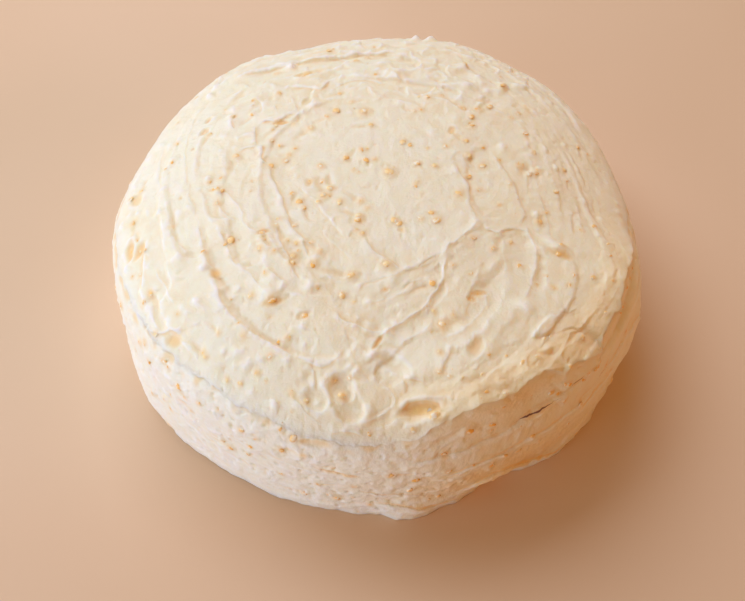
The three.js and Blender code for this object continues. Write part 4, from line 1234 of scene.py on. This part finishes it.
def bit_places(cake, azimuth, distance, size, shows, seed):
    """What bits_on needs for each bit. One that shows little is sunk deep and rides low."""
    draw = np.random.default_rng(seed)
    on_side = distance > lip_edge(azimuth)
    on_top, _ = coat_places(cake, azimuth, distance, on_side=False)
    under_lip, _ = coat_places(cake, azimuth, distance, on_side=True)
    plain = cake.at(distance)
    outward = np.stack([*on_coat(azimuth, plain["out"]), plain["up"]], axis=-1)
    shape = draw.uniform(*BIT_SHAPE, (len(size), 3))
    sunk = (BIT_STANDS * shows - BIT_SUNK - 0.5 * shape[:, 2]) * size
    spin = draw.uniform(-math.pi, math.pi, len(size))
    turns = [Vector(way).to_track_quat("Z", "Y") @ Quaternion((0, 0, 1), a) for way, a in zip(outward, spin)]
    return {
        "point": np.where(on_side[:, None], under_lip, on_top) + outward * sunk[:, None],
        "extent": shape * size[:, None] * MM,
        "turn": np.array([tuple(turn.to_euler()) for turn in turns]),
        "kind": draw.integers(0, LUMP_KINDS, len(size)),
        "ripeness": np.minimum(draw.uniform(0, 1, len(size)) ** 2 + SIDE_RIPER * on_side, 1),
    }


# ---- Meshes ----
EDGE_TURNS = (30, 60, 90)  # how far the rings of the lip's rounded edge have turned under, in degrees
UNDER_IN = 1.5  # how far in the side coat the lip's underside ends, beyond the tuck
CREST_REACH = 2  # how many spots to each side a spot is compared with
CREST_RISE = 0.8  # difference in height between the deepest hollow and the highest crest that are told apart


def new_object(name, data):
    made = bpy.data.objects.new(name, data)
    bpy.context.scene.collection.objects.link(made)
    return made


def give(mesh, name, values):
    """Gives each point of a mesh its own value, whole number or vector."""
    whole, several = values.dtype.kind == "i", values.ndim > 1
    kind = "FLOAT_VECTOR" if several else "INT" if whole else "FLOAT"
    values = values.astype(np.int32 if whole else np.float32).ravel()
    mesh.attributes.new(name, kind, "POINT").data.foreach_set("vector" if several else "value", values)


def make_mesh(name, points, faces, flat_faces=0, given=None):
    """A mesh from points in millimetres; its last flat_faces are flat, and the rest are smooth."""
    mesh = bpy.data.meshes.new(name)
    mesh.from_pydata((points * MM).tolist(), [], faces)
    mesh.polygons.foreach_set("use_smooth", np.arange(len(faces)) < len(faces) - flat_faces)
    for key, values in (given or {}).items():
        give(mesh, key, values)
    mesh.validate()
    mesh.update()
    return new_object(name, mesh)


def raised(relief):
    """How far each spot of a grid stands above its surroundings, from 0 in a hollow to 1 on a crest."""
    level = relief
    steps = range(-CREST_REACH, CREST_REACH + 1)
    for axis in (0, 1, 0, 1):
        level = sum(np.roll(level, step, axis) for step in steps) / len(steps)
    return np.clip(0.5 + (relief - level) / CREST_RISE, 0, 1).ravel()


def band(upper, lower):
    """Faces between two closed rings of point numbers, the upper one first, facing outwards."""
    upper_next, lower_next = np.roll(upper, -1), np.roll(lower, -1)
    return np.stack([lower, lower_next, upper_next, upper], axis=-1).tolist()


def fan(middle, ring):
    """Faces between a closed ring of point numbers and its middle, up where the ring goes anticlockwise."""
    return [(middle, a, b) for a, b in zip(ring.tolist(), np.roll(ring, -1).tolist())]


def square_grid(rings):
    """A square grid bent into rings: each corner's azimuth and ring, 0 to 1; the faces; the outer ring."""
    line = np.arange(-rings, rings + 1)
    i, j = (part.ravel().astype(float) for part in np.meshgrid(line, line, indexing="ij"))
    mostly_i = np.abs(i) >= np.abs(j)
    ring = np.where(mostly_i, i, j)
    safe = np.where(ring == 0, 1, ring)
    turn = np.where(mostly_i, math.pi / 4 * j / safe, math.pi / 2 - math.pi / 4 * i / safe)
    azimuth = np.degrees(np.arctan2(ring * np.sin(turn), ring * np.cos(turn)))
    numbers = np.arange(len(line) ** 2).reshape(len(line), len(line))
    corners = numbers[:-1, :-1], numbers[1:, :-1], numbers[1:, 1:], numbers[:-1, 1:]
    faces = np.stack([corner.ravel() for corner in corners], axis=-1).tolist()
    outer = np.flatnonzero(np.abs(ring) == rings)
    return azimuth, np.abs(ring) / rings, faces, outer[np.argsort(azimuth[outer])]


def top_coat_mesh(cake):
    """The top coat: the dome, its rounded edge, and an underside that closes it inside the side coat."""
    azimuth, ring, faces, outer = square_grid(TOP_RINGS)
    points, surface = coat_places(cake, azimuth, ring * lip_edge(azimuth), on_side=False)
    around, out, up = azimuth[outer], surface.plain["out"][outer], surface.plain["up"][outer]
    outward = np.stack([*on_coat(around, out), up], axis=-1)
    onward = np.stack([*on_coat(around, up), -out], axis=-1)
    rounding = EDGE_ROUND * (EDGE_ROUND_LOOSE + (1 - EDGE_ROUND_LOOSE) * crispness(around))[:, None]
    under = []
    for turn in map(math.radians, EDGE_TURNS):
        under.append(points[outer] + rounding * (math.sin(turn) * onward - (1 - math.cos(turn)) * outward))
    for inwards in (cake.lip_thickness(around)[:, None], TUCK_IN + UNDER_IN):
        under.append(under[-1] - inwards * outward)
    below = len(points) + np.arange(len(under) * len(outer)).reshape(len(under), len(outer))
    numbers = [outer, *below]
    for upper, lower in zip(numbers, numbers[1:]):
        faces += band(upper, lower)
    faces += fan(int(below[-1, -1]) + 1, below[-1][::-1])
    middle = [[0, 0, under[-1][:, 2].min()]]
    source = np.concatenate([np.arange(len(points)), *[outer] * len(under), outer[:1]])
    side = 2 * TOP_RINGS + 1
    given = {key: values[source] for key, values in surface.channels(side, side).items()}
    return make_mesh("top_coat", np.vstack([points, *under, middle]), faces, given=given)


def side_coat_mesh(cake):
    """The side coat, from the table up to where it goes under the lip, closed above and below."""
    around = turned(np.arange(SIDE_COLUMNS) * 360 / SIDE_COLUMNS)
    start = lip_edge(around) - TUCK
    down = np.linspace(0, 1, SIDE_ROWS + 1)[:, None]
    distance = (start + down * (cake.coat_length - start)).ravel()
    points, surface = coat_places(cake, np.tile(around, SIDE_ROWS + 1), distance, on_side=True)
    numbers = np.arange(len(points)).reshape(SIDE_ROWS + 1, SIDE_COLUMNS)
    faces = [face for upper, lower in zip(numbers, numbers[1:]) for face in band(upper, lower)]
    faces += fan(len(points), numbers[0]) + fan(len(points) + 1, numbers[-1][::-1])
    middles = [[0, 0, points[numbers[0], 2].mean()], [0, 0, 0]]
    channels = surface.channels(SIDE_ROWS + 1, SIDE_COLUMNS)
    given = {key: np.append(values, (values[0], values[-1])) for key, values in channels.items()}
    return make_mesh("side_coat", np.vstack([points, middles]), faces, SIDE_COLUMNS, given)


# ---- Materials ----
CREAM = "whipped fruit cream, knife-spread"


def new_material(name):
    material = bpy.data.materials.new(name)
    material.use_nodes = True
    material.node_tree.nodes.clear()
    return material, material.node_tree


def add(tree, kind, inputs=None, out=0, **settings):
    """A new node with its settings. Each input, by name or number, is given a value or another node's output.
    What comes back is the output with that name or number."""
    node = tree.nodes.new(kind)
    for key, value in settings.items():
        setattr(node, key, value)
    for key, value in (inputs or {}).items():
        if isinstance(value, bpy.types.NodeSocket):
            tree.links.new(value, node.inputs[key])
        else:
            node.inputs[key].default_value = value
    return node.outputs[out] if node.outputs else None


def patterns(tree, **wanted):
    """Patterns that are fixed to the piece. Each one is given by the size of its lumps in millimetres, its
    detail, its roughness, and the levels of the noise where it starts and where it is full."""
    where = add(tree, "ShaderNodeTexCoord", out="Object")
    made = {}
    for name, (size, detail, roughness, start, full) in wanted.items():
        inputs = {"Vector": where, "Scale": 1 / (size * MM), "Detail": detail, "Roughness": roughness}
        level = add(tree, "ShaderNodeTexNoise", inputs)
        made[name] = add(tree, "ShaderNodeMapRange", {"Value": level, "From Min": start, "From Max": full})
    return made


def cream_material(colours):
    """Whipped fruit cream, spread with a knife. Fat and air scatter the light inside it, so that edges glow
    and shadows are soft. It has a faint wet sheen and grows yellower where juice or fruit lies near. Painted
    shade deepens its hollows and, in the juice colour, its creases, the line under the lip and the right-hand
    side; a painted highlight lightens crests and sheets' edges; and the slits under the lip show the sponge,
    brown with painted shade."""
    material, tree = new_material(CREAM)
    # Whipped cream's real bubbles, about 0.1 mm, are too fine to show, so the finest grain is 0.45 mm.
    share = patterns(
        tree, broad=(26, 3, 0.5, 0.38, 0.64), patch=(6, 4, 0.6, 0.36, 0.70),
        pores=(1.1, 3, 0.65, 0, 1), grain=(0.45, 2, 0.5, 0, 1))
    read = {key: add(tree, "ShaderNodeAttribute", out="Fac", attribute_name=key) for key in CREAM_READS}
    # Distance from a slit's middle, as a share of the slit's width.
    width = add(tree, "ShaderNodeMath", {0: read["cut_width"], 1: 0.02}, operation="MAXIMUM")
    away = add(tree, "ShaderNodeMath", {0: read["cut"]}, operation="ABSOLUTE")
    away = {"slit": add(tree, "ShaderNodeMath", {0: away, 1: width}, operation="DIVIDE")}
    # Distance from the painted highlight along a sheet's edge, on the sheet, and from the painted shade in
    # the crease beneath it.
    for key, middle in (("rim", 0.35), ("crease", -0.5)):
        moved = add(tree, "ShaderNodeMath", {0: read["edge"], 1: middle}, operation="SUBTRACT")
        away[key] = add(tree, "ShaderNodeMath", {0: moved}, operation="ABSOLUTE")
    # rim is a painted highlight and crease painted shade along a sheet's edge, step a bump; low is painted
    # shade in hollows and high a painted highlight on crests; slit is the sponge, darkened with painted
    # shade.
    for key, value, start, full in (
        ("rim", away["rim"], 0.7, 0), ("crease", away["crease"], 0.7, 0), ("step", read["edge"], -0.3, 0.2),
        ("low", read["crest"], 0.42, 0), ("high", read["crest"], 0.56, 1), ("slit", away["slit"], 1.3, 0.6),
    ):
        share[key] = add(tree, "ShaderNodeMapRange", {"Value": value, "From Min": start, "From Max": full})
    # Each edge's painted highlight, painted shade and bump grow with its height.
    for key, strength in (("rim", 1.6), ("crease", 0.4), ("step", 1.0)):
        height = add(tree, "ShaderNodeMath", {0: read["edge_height"], 1: strength}, operation="MULTIPLY")
        share[key] = add(tree, "ShaderNodeMath", {0: share[key], 1: height}, operation="MULTIPLY")
    # Random patches of deeper cream first, then thin cream, painted shade in hollows, painted highlights on
    # crests and rims, juice with painted shade, and the sponge in the slits darkened with painted shade.
    colour = colours.hollow
    for part, over in (
        (share["patch"], colours.cream), (share["broad"], colours.cream), (read["thin"], colours.thin),
        (share["low"], colours.hollow), (share["high"], colours.painted_highlight),
        (share["rim"], colours.painted_highlight), (read["stain"], colours.juice_and_shade), (share["crease"], colours.juice_and_shade),
        (share["slit"], colours.sponge_in_shade),
    ):
        colour = add(tree, "ShaderNodeMix", {0: part, 6: colour, 7: over}, out=2, data_type="RGBA")
    rough = add(tree, "ShaderNodeMapRange", {"Value": share["patch"], "To Min": 0.44, "To Max": 0.60})
    normal = {}
    for height, depth in ((share["step"], 0.24), (share["pores"], 0.27), (share["grain"], 0.08)):
        inputs = {"Height": height, "Distance": depth * MM, "Strength": 1.0, **normal}
        normal = {"Normal": add(tree, "ShaderNodeBump", inputs)}
    shader = add(tree, "ShaderNodeBsdfPrincipled", {
        "Base Color": colour, "Roughness": rough, "IOR": 1.45, "Subsurface Weight": 0.62,
        "Subsurface Radius": (1.0, 0.82, 0.6), "Subsurface Scale": 4.0 * MM, **normal})
    add(tree, "ShaderNodeOutputMaterial", {"Surface": shader})
    return material


def fruit_material(colours, name):
    """Chopped fruit that the cream has wetted: moist, softly shining flesh, from yellow to orange as each bit
    is riper, with fibres steeped in juice and a broken film of cream over it."""
    material, tree = new_material(name)
    # Fruit's real cells, about 0.3 mm, are too fine to show, so they are drawn at 0.8 mm.
    share = patterns(
        tree, flesh=(1.6, 3, 0.5, 0.4, 0.7), film=(2.2, 3, 0.6, 0.51, 0.62), cells=(0.8, 2, 0.5, 0, 1))
    ripe = add(tree, "ShaderNodeAttribute", out="Fac", attribute_name="ripeness")
    colour = colours.fruit_yellow
    for part, over in (
        (ripe, colours.fruit_orange), (share["flesh"], colours.juice_and_shade), (share["film"], colours.cream)):
        colour = add(tree, "ShaderNodeMix", {0: part, 6: colour, 7: over}, out=2, data_type="RGBA")
    bump = add(tree, "ShaderNodeBump", {"Height": share["cells"], "Distance": 0.05 * MM, "Strength": 0.8})
    shader = add(tree, "ShaderNodeBsdfPrincipled", {
        "Base Color": colour, "Roughness": 0.42, "IOR": 1.38, "Normal": bump})
    add(tree, "ShaderNodeOutputMaterial", {"Surface": shader})
    return material


def floor_material(colours):
    """A plain painted board: matt, with a trace of unevenness in its tone."""
    material, tree = new_material("painted board, matt")
    tone = patterns(tree, tone=(300, 2, 0.5, 0.3, 0.7))["tone"]
    inputs = {0: tone, 6: colours.floor, 7: colours.floor_deep}
    colour = add(tree, "ShaderNodeMix", inputs, out=2, data_type="RGBA")
    shader = add(tree, "ShaderNodeBsdfPrincipled", {"Base Color": colour, "Roughness": 0.7})
    add(tree, "ShaderNodeOutputMaterial", {"Surface": shader})
    return material


# ---- Bits, by Geometry Nodes ----
def bits_tree():
    """Instances one of a few lumpy shapes on each point, by the points' own size and turn."""
    tree = bpy.data.node_groups.new("bits on points", "GeometryNodeTree")
    for way in ("INPUT", "OUTPUT"):
        tree.interface.new_socket("Geometry", in_out=way, socket_type="NodeSocketGeometry")
    for name, kind, default in (
        ("Fineness", "Int", 2), ("Seed", "Int", 3), ("Lumpiness", "Float", 0.35),
        ("Lump Scale", "Float", 2.2),
    ):
        socket = tree.interface.new_socket(name, in_out="INPUT", socket_type="NodeSocket" + kind)
        socket.default_value = default
    tree.interface.new_socket("Material", in_out="INPUT", socket_type="NodeSocketMaterial")
    given = tree.nodes.new("NodeGroupInput").outputs
    normal, place = add(tree, "GeometryNodeInputNormal"), add(tree, "GeometryNodeInputPosition")
    lumps = tree.nodes.new("GeometryNodeGeometryToInstance")
    for kind in range(LUMP_KINDS):
        ball = add(tree, "GeometryNodeMeshIcoSphere", {"Radius": 0.5, "Subdivisions": given["Fineness"]})
        ball = add(tree, "GeometryNodeSetShadeSmooth", {0: ball})
        seed = add(tree, "ShaderNodeMath", {0: given["Seed"], 1: 7.7 * (kind + 1)}, operation="ADD")
        inputs = {"Vector": place, "W": seed, "Scale": given["Lump Scale"], "Detail": 1.0}
        high = add(tree, "ShaderNodeTexNoise", inputs, noise_dimensions="4D")
        high = add(tree, "ShaderNodeMath", {0: high, 1: 0.5}, operation="SUBTRACT")
        high = add(tree, "ShaderNodeMath", {0: high, 1: given["Lumpiness"]}, operation="MULTIPLY")
        offset = add(tree, "ShaderNodeVectorMath", {0: normal, "Scale": high}, operation="SCALE")
        moved = add(tree, "GeometryNodeSetPosition", {"Geometry": ball, "Offset": offset})
        tree.links.new(moved, lumps.inputs[0])
    own = {}
    for name, kind in (("extent", "FLOAT_VECTOR"), ("turn", "FLOAT_VECTOR"), ("kind", "INT")):
        own[name] = add(tree, "GeometryNodeInputNamedAttribute", {"Name": name}, data_type=kind)
    placed = add(tree, "GeometryNodeInstanceOnPoints", {
        "Points": given["Geometry"], "Instance": lumps.outputs[0], "Pick Instance": True,
        "Instance Index": own["kind"], "Rotation": own["turn"], "Scale": own["extent"]})
    real = add(tree, "GeometryNodeRealizeInstances", {0: placed})
    finished = add(tree, "GeometryNodeSetMaterial", {0: real, "Material": given["Material"]})
    add(tree, "NodeGroupOutput", {0: finished})
    return tree


def bits_on(name, places, **settings):
    """A piece of bits: one point for each, then the tree's result as a plain mesh."""
    cloud = bpy.data.meshes.new(name + "_points")
    cloud.from_pydata((places.pop("point") * MM).tolist(), [], [])
    for key, values in places.items():
        give(cloud, key, values)
    piece = new_object(name, cloud)
    modifier = piece.modifiers.new("bits", "NODES")
    modifier.node_group = bits_tree()
    for socket in modifier.node_group.interface.items_tree:
        if socket.in_out == "INPUT" and socket.name in settings:
            modifier[socket.identifier] = settings[socket.name]
    graph = bpy.context.evaluated_depsgraph_get()
    mesh = bpy.data.meshes.new_from_object(piece.evaluated_get(graph))
    piece.modifiers.remove(modifier)
    piece.data = mesh
    mesh.name = name
    bpy.data.meshes.remove(cloud)
    return piece


# ---- Operators ----
def finish_piece(piece):
    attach(piece, "root")


def finish_coat(piece, colours):
    """Both coats share one cream, and together they stand in for the plain cake."""
    piece.data.materials.append(bpy.data.materials.get(CREAM) or cream_material(colours))
    finish_piece(piece)
    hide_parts(NODE)


class CAKE_OT_top_coat(bpy.types.Operator):
    """Makes the top coat of cream, with its knife marks and its lip"""

    bl_idname = "cake.top_coat"
    bl_label = "Top Coat"

    def execute(self, context):
        finish_coat(top_coat_mesh(Cake(context.scene.cake_sizes)), context.scene.cake_colours)
        return {"FINISHED"}


class CAKE_OT_side_coat(bpy.types.Operator):
    """Makes the side coat of cream, down to the table"""

    bl_idname = "cake.side_coat"
    bl_label = "Side Coat"

    def execute(self, context):
        finish_coat(side_coat_mesh(Cake(context.scene.cake_sizes)), context.scene.cake_colours)
        return {"FINISHED"}


class CAKE_OT_fruit_bits(bpy.types.Operator):
    """Presses the bits of fruit into the cream"""

    bl_idname = "cake.fruit_bits"
    bl_label = "Fruit Bits"

    def execute(self, context):
        cake = Cake(context.scene.cake_sizes)
        wanted = {key: cake.fruit[key] for key in ("azimuth", "distance", "size", "shows")}
        material = fruit_material(context.scene.cake_colours, "orange and pineapple, chopped and wet")
        places = bit_places(cake, **wanted, seed=BITS_SEED)
        piece = bits_on("fruit_bits", places, Material=material, Fineness=2, Lumpiness=0.35)
        finish_piece(piece)
        return {"FINISHED"}


class CAKE_OT_zest_specks(bpy.types.Operator):
    """Scatters the specks of zest over the cream"""

    bl_idname = "cake.zest_specks"
    bl_label = "Zest Specks"

    def execute(self, context):
        cake = Cake(context.scene.cake_sizes)
        material = fruit_material(context.scene.cake_colours, "orange zest, grated")
        places = bit_places(cake, **speck_places(cake, context.scene.cake_sizes), seed=BITS_SEED + 2)
        piece = bits_on("zest_specks", places, Material=material, Fineness=1, Lumpiness=0.4)
        finish_piece(piece)
        return {"FINISHED"}


# ---- Stage ----
CAMERA_PLACE = (-3.1, -412.6, 546.8)
CAMERA_TARGET = (-3.1, -18.5, 22.0)
CAMERA_LENS = 66.72  # focal length in millimetres
CAMERA_SENSOR = 36.0  # width of what it falls on
FLOOR_HALF = 3000.0  # half the floor's side
# Soft lights: the azimuth and elevation that each comes from, its distance, width and height.
LIGHTS = {
    "low_window": (-147, 6, 1300, 900, 260),
    "high_window": (125, 53, 1300, 1300, 1000),
    "table_bounce": (-20, 22, 2100, 1400, 500),
}
LIGHTS_TARGET = (0, 0, 40)


def aimed(data, place, target):
    made = new_object(data.name, data)
    made.location = Vector(place) * MM
    made.rotation_euler = (Vector(target) - Vector(place)).to_track_quat("-Z", "Y").to_euler()
    return made


def soft_light(name, energy, tint):
    azimuth, elevation, distance, width, height = LIGHTS[name]
    light = bpy.data.lights.new(name, "AREA")
    light.shape, light.size, light.size_y = "RECTANGLE", width * MM, height * MM
    light.energy, light.color = energy, tint[:3]
    rise = math.radians(elevation)
    way = Vector((*on_coat(azimuth, math.cos(rise)), math.sin(rise)))
    aimed(light, Vector(LIGHTS_TARGET) + way * distance, LIGHTS_TARGET)


class CAKE_OT_stage(bpy.types.Operator):
    """Makes the floor, the soft light and the camera"""

    bl_idname = "cake.stage"
    bl_label = "Stage"

    def execute(self, context):
        colours, sizes = context.scene.cake_colours, context.scene.cake_sizes
        corners = np.array([(-1, -1, 0), (1, -1, 0), (1, 1, 0), (-1, 1, 0)]) * FLOOR_HALF
        floor = make_mesh("floor", corners + (0, 0, FLOOR_HEIGHT), [(0, 1, 2, 3)])
        floor.data.materials.append(floor_material(colours))
        for name in LIGHTS:
            soft_light(name, getattr(sizes, name), getattr(colours, name))
        world = bpy.data.worlds.new("room")
        world.use_nodes = True
        background = world.node_tree.nodes["Background"].inputs
        background["Color"].default_value, background["Strength"].default_value = colours.room, sizes.room
        context.scene.world = world
        context.scene.view_settings.view_transform = "Standard"
        camera = bpy.data.cameras.new("camera")
        camera.lens, camera.sensor_width = CAMERA_LENS, CAMERA_SENSOR
        context.scene.camera = aimed(camera, CAMERA_PLACE, CAMERA_TARGET)
        return {"FINISHED"}


OPERATORS = (CAKE_OT_top_coat, CAKE_OT_side_coat, CAKE_OT_fruit_bits, CAKE_OT_zest_specks, CAKE_OT_stage)


class CAKE_PT_panel(bpy.types.Panel):
    """Lists the steps, and then the sizes and colours"""

    bl_idname = "CAKE_PT_panel"
    bl_label = "Mimosa Cake"
    bl_space_type = "VIEW_3D"
    bl_region_type = "UI"
    bl_category = "Cake"

    def draw(self, context):
        for operator in OPERATORS:
            self.layout.operator(operator.bl_idname)
        for group in (context.scene.cake_sizes, context.scene.cake_colours):
            for key in type(group).__annotations__:
                self.layout.prop(group, key)


CLASSES = (CakeColours, CakeSizes, *OPERATORS, CAKE_PT_panel)


def register():
    for each in CLASSES:
        bpy.utils.register_class(each)
    bpy.types.Scene.cake_colours = bpy.props.PointerProperty(type=CakeColours)
    bpy.types.Scene.cake_sizes = bpy.props.PointerProperty(type=CakeSizes)


def unregister():
    del bpy.types.Scene.cake_sizes, bpy.types.Scene.cake_colours
    for each in reversed(CLASSES):
        bpy.utils.unregister_class(each)


def main():
    register()
    bpy.ops.cake.top_coat()
    bpy.ops.cake.side_coat()
    bpy.ops.cake.fruit_bits()
    bpy.ops.cake.zest_specks()
    bpy.ops.cake.stage()


if __name__ == "__main__":
    main()
